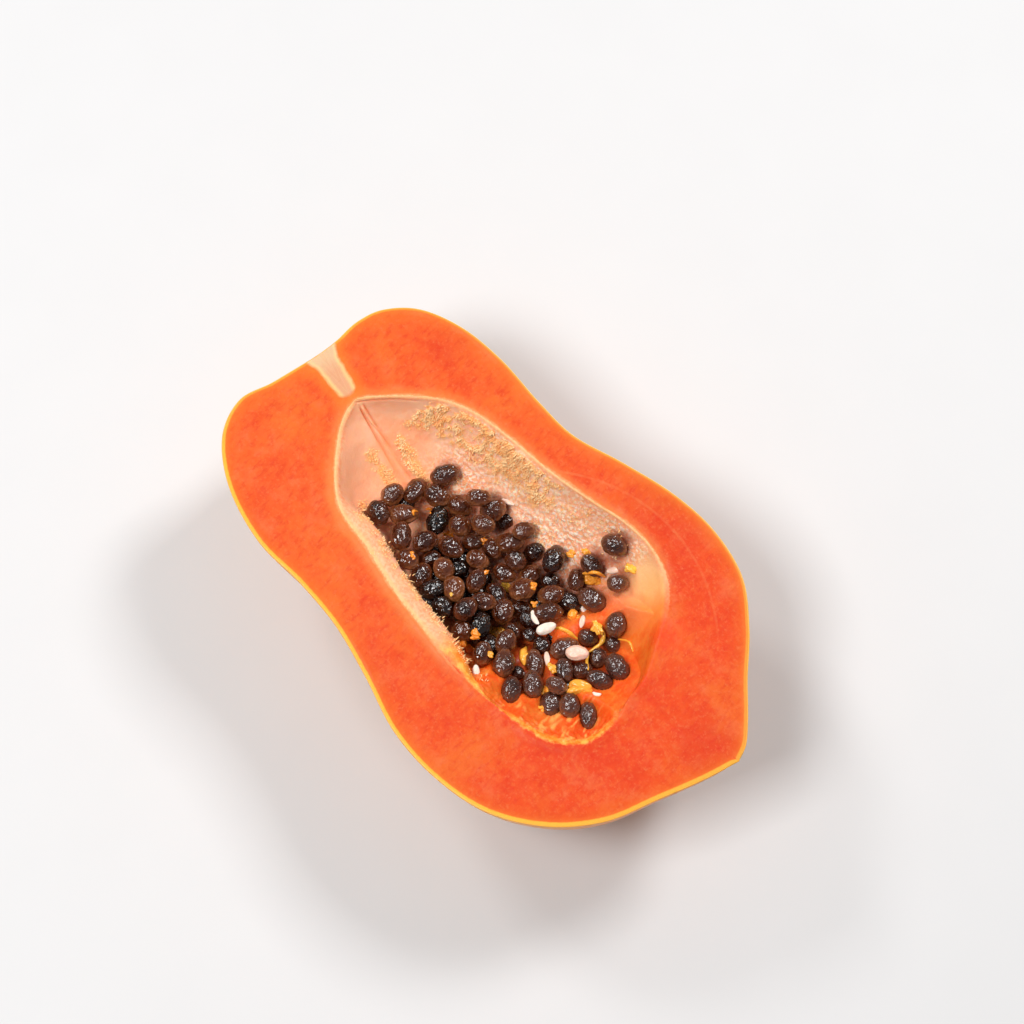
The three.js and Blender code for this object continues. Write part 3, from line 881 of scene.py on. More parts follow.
def flesh_colour(finish, masks):
    """Orange to red along the fruit, under patches, haze, mottling, fibres and one vein."""
    ripe = masks.along.fade(-50, 60) * 0.6 + masks.clouds * 0.5 - 0.25
    wide = finish.noise(masks.place, 22, detail=4, roughness=0.6)
    haze = finish.noise(finish.place((1, 1, 0.2)), 6.5, detail=4, roughness=0.6)
    red = sum(patch(masks, x, y, size) * strength for x, y, size, strength in RED_PATCHES)
    x_off, y_off = masks.along - VEIN_MIDDLE[0], masks.across - VEIN_MIDDLE[1]
    arc = ((x_off ** 2.0 + y_off ** 2.0) ** 0.5).distance_from(VEIN_RADIUS)
    vein = (1 - arc.fade(0.1, 0.6)) * masks.across.fade(26, 34) * (masks.mottle - 0.2)
    return finish.layered(finish.tint(ripe.fade(0, 0.8), "#FF6422", "#FA4A06"), [
        (wide.fade(0.45, 0.7) * 0.7, "#FF7C28"),
        (wide.fade(0.5, 0.32) * 0.5, "#F2401A"),
        (haze.fade(0.5, 0.75) * 0.5, "#FF8250"),
        (haze.fade(0.5, 0.28) * 0.5, "#F03C0A"),
        (masks.mottle.fade(0.45, 0.75) * 0.6, "#FF7230"),
        (masks.fibres.fade(0.45, 0.75) * 0.5, "#EC2E06"),
        (red * (masks.mottle * 0.6 + 0.15), "#E22406"),
        (masks.specks.fade(0.5, 0.8) * masks.fibres * 0.8, "#FF8650"),
        (vein * masks.fibres * 1.2, "#FF9A60"),
    ])


print(len(RED_PATCHES), "red patches and", len(HALF_VALUES), "masks kept by the mesh")

# %% [markdown]
# The flesh turns yellow under the skin, in a wide faint band and a thin bright line. Round
# the hollow it blushes paler, up to a cream line on the rim itself. The line under the
# skin is wider on the near side and towards the blossom end. On the near side it is also a
# brighter yellow, partly its own colour and partly a painted highlight on the edge.

# %% Colour of the edges
def with_edges(finish, masks, flesh):
    """The flesh with its yellow line under the skin and its cream line round the hollow."""
    mottle, specks, near_side = masks.mottle, masks.specks, masks.near_side
    line_width = 0.2 + near_side * 0.35 + masks.along.fade(30, 85) * 0.4
    rind_line = 1 - (masks.rind_gap + specks * 0.3 - line_width).fade(0.1, 0.6)
    rim_blush = (1 - (masks.rim_gap + mottle * 2 - near_side).fade(0.6, 4.5)) * masks.rim_cream
    rim_wander = masks.rim_gap + mottle * 1.4 + masks.clouds * 1.6 - 0.9
    rim_line = (1 - rim_wander.fade(0.5, 1.3)) * masks.rim_cream
    return finish.layered(flesh, [
        ((1 - (masks.rind_gap + mottle * 1.2).fade(0.6, 3.0)) * 0.6, "#FF8A2C"),
        ((1 - (masks.rind_gap + masks.clouds * 6).fade(2, 9)) * 0.4, "#FF8220"),
        # Partly a painted highlight: the rind line is a brighter yellow on the near side.
        (rind_line, finish.tint(near_side, "#FF9C3C", "#FFC844")),
        (rim_blush * 0.6, "#FF9C50"),
        (rim_line * 0.7, finish.tint(specks.fade(0.3, 0.7), "#FFAC70", "#FFC48C")),
    ])


print("the edges add five layers")

# %% [markdown]
# The core is a pale tongue of tougher tissue that led from the stem to the hollow. It is a
# mask along a line: wide at the skin, rounded where it ends, with a cream border, lines
# along it, and a yellow glow in the flesh beside it.

# %% Colour of the core
CORE_TOP = np.array([-81.2, 15.0])
CORE_FOOT = np.array([-65.1, 11.3])
CORE_WIDTH = 5.6
CORE_ENDS = (15.6, 17.0)


def with_core(finish, masks, flesh):
    """The flesh with the core and its glow, by the distance down the core and off its line."""
    way = (CORE_FOOT - CORE_TOP) / np.linalg.norm(CORE_FOOT - CORE_TOP)
    core_x, core_y = masks.along - float(CORE_TOP[0]), masks.across - float(CORE_TOP[1])
    down = core_x * float(way[0]) + core_y * float(way[1])
    off = (core_y * float(way[0]) - core_x * float(way[1])).sum("ABSOLUTE")
    past_edge = off - (CORE_WIDTH - down.fade(-1, 5) * 1.9 - down.fade(5, 17) * 0.7)
    end = (down + off ** 2.0 * 0.14 + masks.mottle).fade(*CORE_ENDS)
    inside = (1 - (past_edge + masks.mottle * 1.4).fade(-0.2, 1.0)) * (1 - end) * (1 - masks.cream)
    glow = (1 - past_edge.fade(0, 4.0)) * (1 - down.fade(16, 20)) * (1 - masks.cream)
    lines = finish.noise(off * 1.6 + down * 0.25 + masks.mottle, 1.0, detail=3)
    core = finish.layered(finish.tint(lines.fade(0.3, 0.7), "#F2A87E", "#FBBE94"), [
        (masks.fibres.fade(0.5, 0.8) * 0.6, "#E89868"),
        ((past_edge + masks.mottle).fade(-1.5, -0.2) * 0.85, "#FFDC96"),
        ((1 - down.fade(1, 8)) * 0.6, "#FADDB0"),
    ])
    return finish.layered(flesh, [(glow * 0.55, "#FF8E2C"), (inside, core)])


print("the core is", round(float(np.linalg.norm(CORE_FOOT - CORE_TOP)), 1), "mm long")

# %% [markdown]
# The lining is peach, deeper in the middle of the hollow. Just under the rim runs a pale
# line, then a band that on the near side covers the whole soft lip. Whitish grains and
# yellow fuzz lie over it where their masks say so. The near wall is painted pinker, standing
# in for warm light bounced into its shade; the ridge's grooves and a line under the far rim
# get painted shade; the grains' whitish tops are painted highlights and the orange between
# them is painted shade.

# %% Colour of the lining
def wall_colour(finish, masks):
    """Peach, tinted by depth, side, crease, rim, grains and fuzz in this order. The side's pink,
    the crease's darker orange and the grains' whitish tops and orange gaps are painted light
    and shade.
    """
    mottle, specks, inward = masks.mottle, masks.specks, masks.inward
    lip = masks.near_side.fade(0.55, 0.9) * (masks.along.fade(-50, -36) * 0.75 + 0.25)
    wall_top = 1 - (inward + mottle * 0.8 - lip * 3.6).fade(1.4, 2.6)
    pale_line = 1 - (inward + mottle - lip * 0.4).fade(0.7, 2.0)
    return finish.layered(finish.tint(masks.clouds.fade(0.3, 0.7), "#FFC09A", "#FFA87C"), [
        (mottle.fade(0.45, 0.8) * 0.5, "#FFCBA2"),
        (inward.fade(12, 28) * 0.5, "#FC8E54"),
        # Painted light: the near wall tinted a saturated pink, standing in for warm light bounced into
        # its shade.
        (masks.near_side.fade(0.6, 0.95) * 0.7, "#FFB28A"),
        # Painted shade: darker orange in the ridge's grooves and in the line under the far rim.
        (masks.crease * 0.7, "#F58244"),
        (wall_top * 0.75, finish.tint(specks.fade(0.3, 0.7), "#FF9868", "#FFBE92")),
        (pale_line * 0.65, "#FFC280"),
        # Painted highlight: the whitish tops of the sugar grains; painted shade: the orange between
        # them.
        (masks.sugar * masks.grain * 0.85, "#FFE8CE"),
        (masks.sugar * (1 - masks.grain) * 0.35, "#FF9A66"),
        (masks.fuzz.fade(0.1, 0.5) * 0.8, finish.tint(masks.bead, "#FFD092", "#FFA860")),
    ])


print("the lining has nine layers over its peach")

# %% [markdown]
# The pulp at the blossom end is a little more orange than the cut flesh. On the near side a
# torn yellow band runs inside the rim, and the raised fibres are pale. Beside the pulp the
# pale scoop turns orange, then red, towards the blossom end.

# %% Colour of the pulp, and the whole flesh
SHADE_OF_ALL = "#E2E2DC"
# Patches in the hollow, over pulp and lining: x, y, size, strength and colour.
SCOOP_PATCHES = [(40, 27, 12, 0.65, "#FF8E34"), (34, 31, 11, 0.55, "#FFC47C")]
RED_SPOT = (50, 22, 8, 0.4, "#F2380E")


def with_pulp(finish, masks, flesh):
    """The flesh with pulp, torn band and fibres inside the rim."""
    mottle, inward = masks.mottle, masks.inward
    not_cream = 1 - masks.cream
    pulp_shade = finish.tint((masks.clouds * 0.5 + mottle * 0.5).fade(0.42, 0.6), "#FF6418", "#FF8E34")
    near_edge = 1 - masks.across.fade(-15, -1)
    band_end = (inward + masks.clouds * 8 + mottle * 3).fade(8.0, 12.5)
    band = (inward + mottle * 2.4).fade(1.2, 2.4) * (1 - band_end)
    return finish.layered(flesh, [
        (inward.fade(0.5, 5) * not_cream * 0.4, pulp_shade),
        (band * near_edge * not_cream * 0.9, finish.tint(mottle.fade(0.4, 0.62), "#FF8A2A", "#FFBE58")),
        (masks.fibre * 0.7, finish.tint(masks.specks, "#FFA040", "#FFC474")),
    ])


def flesh_finish():
    """The material of everything but the skin: flesh outside the rim, lining inside it."""
    finish = Finish("ripe_flesh")
    masks = flesh_masks(finish)
    flesh = with_core(finish, masks, with_edges(finish, masks, flesh_colour(finish, masks)))
    flesh = finish.tint(1.0, flesh, SHADE_OF_ALL, "MULTIPLY")
    shade = finish.tint(masks.cream, with_pulp(finish, masks, flesh), wall_colour(finish, masks))
    in_hollow = masks.inward.fade(0.3, 2.5)
    patches = [(patch(masks, x, y, size) * in_hollow * strength, code)
               for x, y, size, strength, code in SCOOP_PATCHES]
    red_x, red_y, red_size, red_strength, red_code = RED_SPOT
    patches.append((patch(masks, red_x, red_y, red_size) * red_strength, red_code))
    # Dark reddish brown by the seeds: partly juice stain, partly painted shade of the heap.
    shade = finish.layered(shade, patches + [(masks.stain * 0.85, "#84301A")])

    height = masks.mottle * 0.12 + masks.fibres * 0.12 + masks.specks * 0.08
    height = height + masks.fuzz * masks.bead * -0.1 + masks.sugar * masks.grain * 0.1
    rough = 0.34 + masks.mottle * 0.16 + masks.specks * 0.08 + masks.cream * 0.06 - masks.stain * 0.15
    return finish.surface(
        {"Base Color": shade, "Roughness": rough},
        {"Subsurface Weight": 0.35, "Subsurface Radius": (1.0, 0.32, 0.12), "Subsurface Scale": 0.002,
         "Specular IOR Level": 0.25, "Coat Weight": 0.05, "Coat Roughness": 0.2},
        height, bump=0.9)


ripe_flesh = flesh_finish()
print("the flesh has", len(ripe_flesh.node_tree.nodes), "nodes")

# %% [markdown]
# The skin is thin, smooth and waxy, orange-yellow with a flush of deeper orange, and has
# fine freckles and a few brown scuffs. It is only seen from the sides, but it goes all the
# way round.

# %% Skin
def skin_finish():
    """Orange-yellow with freckles, scuffs, the stem's scar and the flower's brown tip."""
    finish = Finish("papaya_skin")
    place = finish.place()
    rind_gap = finish.value("rind_gap")
    along, _ = finish.apart(place)
    clouds = finish.noise(finish.place((0.5, 1, 1)), 26, detail=3)
    mottle = finish.noise(place, 5, detail=4)
    pores = finish.cells(place, 1.5)
    freckles = finish.cells(place, 7.5)
    freckle_size = finish.noise(place, 9, detail=1)
    freckle = 1 - (freckles + freckle_size * 0.16).fade(0.10, 0.17)
    scuffs = finish.noise(finish.place((0.4, 1, 1)), 4.5, detail=6, roughness=0.75).fade(0.66, 0.76)

    def near_point(point, size):
        """1 at a point of the fruit and 0 beyond the size."""
        gap = finish.node("ShaderNodeVectorMath", {"operation": "DISTANCE"},
                          {0: place, 1: (*point, CUT_HEIGHT)}, output=1)
        return 1 - (gap + mottle * 1.5).fade(size - 0.6, size + 1.4)

    scar = near_point(STEM_SCAR, SCAR_RADIUS)
    fresh_edge = 1 - (rind_gap * -1 + mottle).fade(0.4, 2.2)
    skin_colour = finish.layered(finish.tint(clouds.fade(0.3, 0.7), "#FFA92E", "#F98A1E"), [
        (mottle.fade(0.45, 0.75) * 0.4, "#FFB94A"),
        (along.fade(40, 88) * 0.45, "#E86A18"),
        (freckle * 0.65, "#9A5A1C"),
        (scuffs * clouds.fade(0.5, 0.65) * 0.8, "#A8561C"),
        (scar, finish.tint(finish.noise(place, 1.2, detail=4), "#D69A62", "#8E5230")),
        (near_point(BLOSSOM_TIP, TIP_RADIUS) * 0.85, "#7A4A22"),
        (fresh_edge * 0.6, "#FFC04C"),
    ])
    height = pores.fade(0, 0.5) * 0.05 + mottle * 0.15 + scuffs * 0.05
    height = height + freckle * -0.04 + scar * mottle * 0.5
    rough = 0.30 + mottle * 0.14 + scuffs * 0.2 + scar * 0.35
    return finish.surface(
        {"Base Color": skin_colour, "Roughness": rough},
        {"Subsurface Weight": 0.15, "Subsurface Radius": (1.0, 0.4, 0.1), "Subsurface Scale": 0.0015,
         "Specular IOR Level": 0.5, "Coat Weight": 0.12, "Coat Roughness": 0.3},
        height, bump=0.8)


papaya_skin = skin_finish()
half = make_piece("papaya_half_flesh", half_points, half_faces, [ripe_flesh, papaya_skin],
                  ["papaya_half"], half_values, skin_face)
print("the half:", len(half.data.polygons), "faces,", len(half.data.vertices), "points")

# %% [markdown]
# The stubs of the strings stand out of the lining wherever the fuzz number says so. Each is
# a short tapered tube that bends down the wall, only a few dozen faces, and all of them are
# worked out in one array: a row of rings along a bent line, for every stub at once.

# %% Tubes and a random choice of places
def rings_round(ways, helper, sides):
    """A circle of radius 1 at right angles to each direction: cos of the turn along one side
    way and sin of it along the other."""
    beside = unit(np.cross(ways, helper))
    above = np.cross(ways, beside)
    turn = np.linspace(0, 2 * math.pi, sides, endpoint=False)[:, None]
    return beside[..., None, :] * np.cos(turn) + above[..., None, :] * np.sin(turn)


def tubes(bases, ways, bends, lengths, radii, rings=6, sides=5):
    """A tube for each base: its middle line is base plus way times length times t plus bend
    times length times t squared, and its radius swells and closes as the root of sin."""
    t = np.linspace(0, 1, rings)
    line = (bases[:, None] + ways[:, None] * (lengths[:, None] * t)[..., None]
            + bends[:, None] * (lengths[:, None] * t ** 2)[..., None])
    girth = radii[:, None] * (np.sin(math.pi * (0.12 + 0.88 * t)) ** 0.5 * (1 - 0.35 * t))[None]
    girth[:, 0] = 0
    girth[:, -1] = 0
    ring = rings_round(ways, np.array([0.31, -0.52, 0.8]), sides)
    return line[:, :, None] + ring[:, None] * girth[..., None, None]


def scatter(weight, count, chooser):
    """Random cells of the hollow's grid, more where the weight and the cell are larger."""
    area = np.linalg.norm(np.cross(np.gradient(hollow, axis=0), np.gradient(hollow, axis=1)), axis=-1)
    odds = (weight * area).ravel()
    picked = chooser.choice(len(odds), count, p=odds / odds.sum())
    return hollow.reshape(-1, 3)[picked], into_hollow.reshape(-1, 3)[picked], picked


def along_tubes(grids):
    """For each point of some tubes, 0 at the tube's foot and 1 at its tip."""
    count, rings, sides = grids.shape[:3]
    return np.tile(np.repeat(np.linspace(0, 1, rings), sides), count)


helper_ring = rings_round(np.eye(3), np.array([0.31, -0.52, 0.8]), 5)
print("a ring of a stub has", helper_ring.shape[1], "points")

# %% [markdown]
# A stub leans out of the wall and down it, with a random lean of its own. It is longer where
# the lining is fuzzier. Its foot is a deeper orange, partly the lining's own colour and
# partly painted shade where the stubs crowd, and its tip is a creamy yellow.

# %% Stubs of fuzz
chooser = np.random.default_rng(7)
STUBS = 4200
STUB_LENGTHS = (0.4, 1.1)
STUB_RADII = (0.14, 0.3)

stub_bases, stub_normals, picked = scatter(np.clip(fuzz - 0.1, 0, 1) ** 1.2, STUBS, chooser)
down_wall = unit(np.gradient(hollow, axis=1)).reshape(-1, 3)[picked]
down_wall = np.where((from_far < from_near).reshape(-1)[picked][:, None], down_wall, -down_wall)
jitter = chooser.normal(size=(STUBS, 3))
stub_ways = unit(0.55 * stub_normals + 0.5 * down_wall + 0.4 * jitter)
stub_bends = unit(down_wall + 0.6 * chooser.normal(size=(STUBS, 3))) * 0.5
stub_lengths = chooser.uniform(*STUB_LENGTHS, STUBS) * (0.5 + 0.6 * fuzz.ravel()[picked])
stub_radii = chooser.uniform(*STUB_RADII, STUBS)
stub_grids = tubes(stub_bases - 0.15 * stub_normals, stub_ways, stub_bends, stub_lengths, stub_radii)
stub_points, stub_faces = joined(stub_grids, closed=True)


def fuzz_finish():
    """Creamy yellow in patches, and orange at the foot of each stub: partly the lining's own
    orange, partly painted shade where the stubs crowd.
    """
    finish = Finish("yellow_fuzz")
    place = finish.place()
    patches = finish.noise(place, 4, detail=2)
    shade = finish.tint(patches.fade(0.35, 0.7), "#FFD8A0", "#FFBC74")
    shade = finish.tint(finish.noise(place, 0.8).fade(0.5, 0.8) * 0.5, shade, "#FFE2B8")
    # Partly painted shade: each stub is a darker orange at its foot.
    shade = finish.tint(finish.value("tone").fade(0.0, 0.5), "#FF9C5C", shade)
    return finish.surface(
        {"Base Color": shade},
        {"Roughness": 0.4, "Specular IOR Level": 0.3})


yellow_fuzz = fuzz_finish()
make_piece("lining_fuzz", stub_points, stub_faces, [yellow_fuzz],
           values={"tone": along_tubes(stub_grids)})
print(STUBS, "stubs with", len(stub_faces), "faces")

# %% [markdown]
# Each seed sits in a thin wet coat that has dried onto it in wrinkles: shallow folds that run
# from end to end, and dimples between them. Those folds break up the reflections into the
# sparks that make the heap look wet, so they are real shape. The fine seed takes the place,
# the tilt and the size of the plain one in the measured model.

# %% Wrinkled seeds
# How brown the seeds are whose colour stands out in the photograph. The others get a random
# brown.
SEED_TONES = {5: 0.02, 19: 0.05, 45: 0.08, 52: 0.1, 12: 0.2, 13: 0.62, 10: 0.56, 43: 0.48,
              20: 0.5}
BLOOM_START, BLOOM_END = 8.0, 38.0
SEED_SWELL = 0.62


def ball_grid(rows, columns):
    """Points of a ball of radius 1 from pole to pole, with their angles from the pole and
    round the axis."""
    along = np.linspace(0, math.pi, rows)[:, None]
    turn = np.linspace(0, 2 * math.pi, columns, endpoint=False)[None]
    width = np.sin(along)
    ball = np.stack([np.cos(along) + 0 * turn, width * np.cos(turn), width * np.sin(turn)], -1)
    return ball, along, turn


def seed_surface(middle, axes, halves, number, rows=40, columns=54, folds=1.0, swell=SEED_SWELL):
    """An ellipsoid that sinks in folds, cos of several turns around the long axis bent by
    noise, in large and small dimples between round grains, and in fine crumples."""
    ball, along, turn = ball_grid(rows, columns)
    local = ball * halves
    at = local + np.array([37.0, 11.0, 5.0]) * (number + 1)
    waves = soft_noise(at, 2.4, number)
    fold_count = 5 + number % 3
    folded = (0.5 - 0.5 * np.cos(fold_count * turn + 3.2 * waves + number)) * np.sin(along)
    dimples = 1 - grains(at, 1.7, number + 3)
    crumple = soft_noise(at, 0.95, number + 9)
    creases = 1 - grains(at, 1.05, number + 5)
    sink = folds * (0.2 * folded + 0.17 * dimples + 0.12 * creases + 0.1 * crumple)
    sink = sink + 0.08 * (1 + waves)
    pointed = 0.95 - 0.07 * np.cos(along)
    local = local * np.stack([np.ones_like(pointed), pointed, pointed], -1)
    local = local + (swell - sink)[..., None] * unit(ball / halves)
    return middle + local @ axes


def seed_values(grid, tone, bloom, number):
    """How brown the coat is at each point, from 0 for black to 1 for light brown, and how
    much grey bloom lies on it. Down its sides the coat is painted browner: a painted stand-in
    for light seen through the wet coat edge on."""
    patches = soft_noise(grid, 3.0, number + 50)
    upward = unit(grid - grid.mean(axis=(0, 1)))[..., 2]
    # Painted light: each seed lighter brown down its sides, for light seen through the coat edge on.
    tone = tone + 0.03 + 0.3 * (1 - fade(upward, 0.25, 0.85)) * min(1, 3 * tone)
    return {"tone": (np.clip(tone + 0.14 * patches, 0, 1)).ravel(),
            "bloom": np.clip(bloom + 0.15 * patches, 0, 1).ravel()}


COAT_STOPS = [(0.0, "#070304"), (0.3, "#28100A"), (0.6, "#582A17"), (1.0, "#9A5C36")]


def seed_finish():
    """Near black to brown by the seed's tone, greyer where it blooms, with brown specks, all
    under wet gloss."""
    finish = Finish("wet_seed_coat")
    place = finish.place()
    tone, bloom = finish.value("tone"), finish.value("bloom")
    mottle = finish.noise(place, 1.1, detail=4, roughness=0.6)
    shade = finish.node("ShaderNodeValToRGB",
                        {"stops": COAT_STOPS},
                        {0: tone + mottle * 0.3 - 0.15})
    shade = finish.tint(bloom * 0.5, shade, "#54403C")
    shade = finish.tint(finish.noise(place, 0.7, detail=2).fade(0.62, 0.8) * 0.5, shade, "#A0643A")
    folds = finish.cells(finish.place((1.0, 0.8, 1.0)), 0.85, "SMOOTH_F1").fade(0.1, 0.6)
    fine = finish.noise(place, 0.45, detail=2)
    height = folds * 0.22 + mottle * 0.17 + fine * 0.06
    return finish.surface(
        {"Base Color": shade, "Roughness": 0.06 + bloom * 0.06 + mottle * 0.05},
        {"IOR": 1.75, "Subsurface Weight": 0.12, "Subsurface Radius": (1.0, 0.35, 0.2),
         "Subsurface Scale": 0.0012},
        height, bump=0.8)


wet_seed_coat = seed_finish()
solid_points, solid_faces = [half_points], [half_faces]


def add_surface(points, faces):
    """Keeps a finished surface, so that what comes later can be laid on it."""
    solid_faces.append(faces + sum(len(p) for p in solid_points))
    solid_points.append(points)


for name in seed_names:
    number = int(name.split("_")[1])
    middle, axes, halves = seed_measures[name]
    grid = seed_surface(middle, axes, halves, number)
    bloom = 0.75 * float(fade(middle[0], BLOOM_START, BLOOM_END))
    tone = SEED_TONES.get(number, 0.32 + 0.22 * lattice_random(np.array([number, 3, 1]), 4))
    points, faces = joined([grid], closed=True)
    make_piece(name + "_coat", points, faces, [wet_seed_coat], [name],
               seed_values(grid, tone, bloom, number))
    add_surface(points, faces)
print(len(seed_names), "wrinkled seeds of", len(faces), "faces each")

# %% [markdown]
# The small seeds in the gaps get the same wrinkles. The lowest seeds are a second layer, made
# under the first, so that no bare floor shows through the heap.

# %% Seeds in the gaps and below
LAYER_DROP = 4.6
LOW_STEP = 4.6
LOW_SPACING = 4.9
HEAP_MARGIN = 4.2
LOW_GRID = (22, 12, 4)
LOW_CORNER = np.array([-42, -22, 0])
LOW_HALVES = np.array([3.3, 2.8, 2.7])
LOW_FAR_EDGE = 24

for i, row in enumerate(GAP_SEEDS):
    number = 100 + i
    middle, axes, halves = gap_seed(row)
    gx, tone = row[0], row[5]
    grid = seed_surface(middle, axes, halves, number, rows=30, columns=40)
    points, faces = joined([grid], closed=True)
    make_piece(f"gap_seed_{i + 1:02d}", points, faces, [wet_seed_coat],
               values=seed_values(grid, tone, 0.6 * float(fade(gx, BLOOM_START, BLOOM_END)), number))
    add_surface(points, faces)

half_tree = BVHTree.FromPolygons((half_points * MM).tolist(), half_faces.tolist())
heap_places = seed_places[seed_places[:, 1] < LOW_FAR_EDGE]
taken = list(seed_places) + [sunk(row[0], row[1], GAP_SEED_DROP) for row in GAP_SEEDS]
low_grids, low_values = [], []
for number, (step_x, step_y, step_z) in enumerate(itertools.product(*map(range, LOW_GRID))):
    middle = LOW_CORNER + LOW_STEP * np.array([step_x + 0.5 * (step_y % 2), step_y, 0])
    middle += chooser.uniform(-0.8, 0.8, 3)
    near = np.argsort(np.linalg.norm(heap_places[:, :2] - middle[:2], axis=1))[:3]
    if np.linalg.norm(heap_places[near[0], :2] - middle[:2]) > HEAP_MARGIN:
        continue
    middle[2] = heap_places[near, 2].min() - LAYER_DROP * (0.45 + 0.8 * step_z)
    foot, _, _, gap = half_tree.find_nearest(Vector(middle * MM))
    free = np.linalg.norm(np.array(taken) - middle, axis=1).min()
    if free > LOW_SPACING and gap / MM > 2.0 and middle[2] > foot.z / MM - 1.5:
        taken.append(middle)
        grid = seed_surface(middle, level_axes(200 * number, 30 * chooser.normal()), LOW_HALVES,
                            200 + number, rows=15, columns=20)
        low_grids.append(grid)
        low_values.append(seed_values(grid, 0.12, 0, 200 + number))
low_points, low_faces = joined(low_grids, closed=True)
make_piece("lower_seeds", low_points, low_faces, [wet_seed_coat],
           values={key: np.concatenate([v[key] for v in low_values]) for key in ("tone", "bloom")})
add_surface(low_points, low_faces)
print(len(GAP_SEEDS), "seeds in gaps and", len(low_grids), "in the lower layer")

# %% [markdown]
# A few seeds never ripened. They are pale, a little flat and smooth. With them lie scraps:
# orange lumps of seed coat, strings that the seeds hung on, and ragged tufts on the rim.
# Each is laid where it shows in the heap: a line of sight is followed from the camera to
# the first seed or wall that it meets, and the scrap rests there.

# %% Lay a scrap on what the camera sees
everything = BVHTree.FromPolygons((np.concatenate(solid_points) * MM).tolist(),
                                  np.concatenate(solid_faces).tolist())


def laid_at(x, y, lift=0.3, depth=None):
    """The first point that the line of sight through x, y meets, and lift mm off it. The line
    goes through that place at the height of the heap, or at a depth of its own."""
    through = np.array([x, y, CUT_HEIGHT - (heap_depth(x, y) if depth is None else depth)])
    way = unit(through - camera_place)
    hit, _, _, _ = everything.ray_cast(Vector(camera_place * MM), Vector(way))
    return np.array(hit) / MM - way * lift


def lump(middle, halves, turn, number, lobes=0.25, bend=0.0):
    """A ball stretched to its half sizes, swelled by noise into lobes, and bent sideways by
    the square of its place along."""
    ball, _, _ = ball_grid(26, 36)
    at = ball * 1.3 + number * 7.0
    swell = 1 + lobes * soft_noise(at, 0.9, number) + 0.3 * lobes * soft_noise(at, 0.4, number + 1)
    local = ball * swell[..., None] * halves
    local[..., 1] += bend * (local[..., 0] / halves[0]) ** 2
    return middle + local @ level_axes(turn, 12 * math.sin(number))


print("the sight line through the middle of the heap ends at", laid_at(0, 0).round(1))

# %% [markdown]
# Where the strings tore off, ragged tufts are left: most on the near rim, and two on the far
# wall near the stem end. Each is a bunch of tapered fibres that start close together.

# %% Ragged tufts
# Each tuft: x, y, depth, the way that its fibres point in degrees, their length and count.
TUFTS = [
    (-41.0, -10.0, 3.0, 20, 1.5, 44), (-39.5, -11.5, 3.0, 60, 1.5, 30), (-16.5, -17.0, 3.0, 75, 1.7, 12),
    (-3.5, -19.8, 3.0, 80, 1.5, 9), (0.0, -20.2, 3.0, 95, 1.7, 10), (6.0, -21.4, 3.0, 70, 1.5, 9),
    (-27.5, -14.5, 3.0, 65, 1.0, 8), (-21.5, -16.0, 3.0, 60, 1.0, 8), (12.0, -23.0, 2.5, 80, 1.3, 9),
    (-30.0, 25.0, 6.0, -60, 1.4, 40), (-28.0, 24.0, 7.0, -50, 1.2, 24), (20.0, -23.5, 2.0, 90, 1.2, 8),
    (-33.0, -13.4, 3.0, 60, 1.0, 8), (-10.0, -18.6, 3.0, 80, 1.0, 8),
]


def tuft_grids(row):
    """Tapered fibres that start close together and point roughly the same level way."""
    tx, ty, depth, turn, length, count = row
    middle = laid_at(tx, ty, lift=0.0, depth=depth)
    turn = math.radians(turn)
    way = np.array([math.cos(turn), math.sin(turn), 0.15])
    ways = unit(way + 0.45 * chooser.normal(size=(count, 3)))
    bends = unit(0.5 * way + 0.5 * chooser.normal(size=(count, 3))) * 0.4
    bases = middle + 0.8 * chooser.normal(size=(count, 3)) * np.array([1, 1, 0.3])
    lengths = length * chooser.uniform(0.4, 1.0, count)
    return tubes(bases, ways, bends, lengths, chooser.uniform(0.1, 0.24, count), rings=9, sides=6)


tufts = np.concatenate([tuft_grids(row) for row in TUFTS])
tuft_points, tuft_faces = joined(tufts, closed=True)
make_piece("rim_tufts", tuft_points, tuft_faces, [yellow_fuzz],
           values={"tone": along_tubes(tufts)})
print(len(TUFTS), "tufts with", len(tufts), "fibres")

# %% [markdown]
# The pale seeds and the bits of empty coat are moist and a little dull. The lumps and strings
# are orange jelly, wetter and glossier. Light goes a little way into both.

# %% Pale seeds, lumps and strings
# Each row: x, y, length, width, turn in degrees, how pink from 0 to 1, sideways bend.
PALE_BITS = [
    (16.25, -22.75, 4.4, 2.2, -45, 0.0, 0.0), (22.75, 28.25, 4.4, 2.0, 55, 0.6, 0.0),
    (25.0, 13.0, 4.6, 1.4, -5, 0.2, 0.9), (27.0, 10.0, 4.0, 1.6, -60, 0.7, 0.0),
    (16.5, 1.1, 5.0, 1.6, -25, 0.2, 0.4), (27.75, -5.5, 4.6, 1.8, -40, 0.6, 0.0),
    (-13.5, 22.2, 4.0, 1.4, 15, 0.5, 0.0), (45.2, -3.9, 2.6, 1.2, 30, 0.1, 0.4),
]
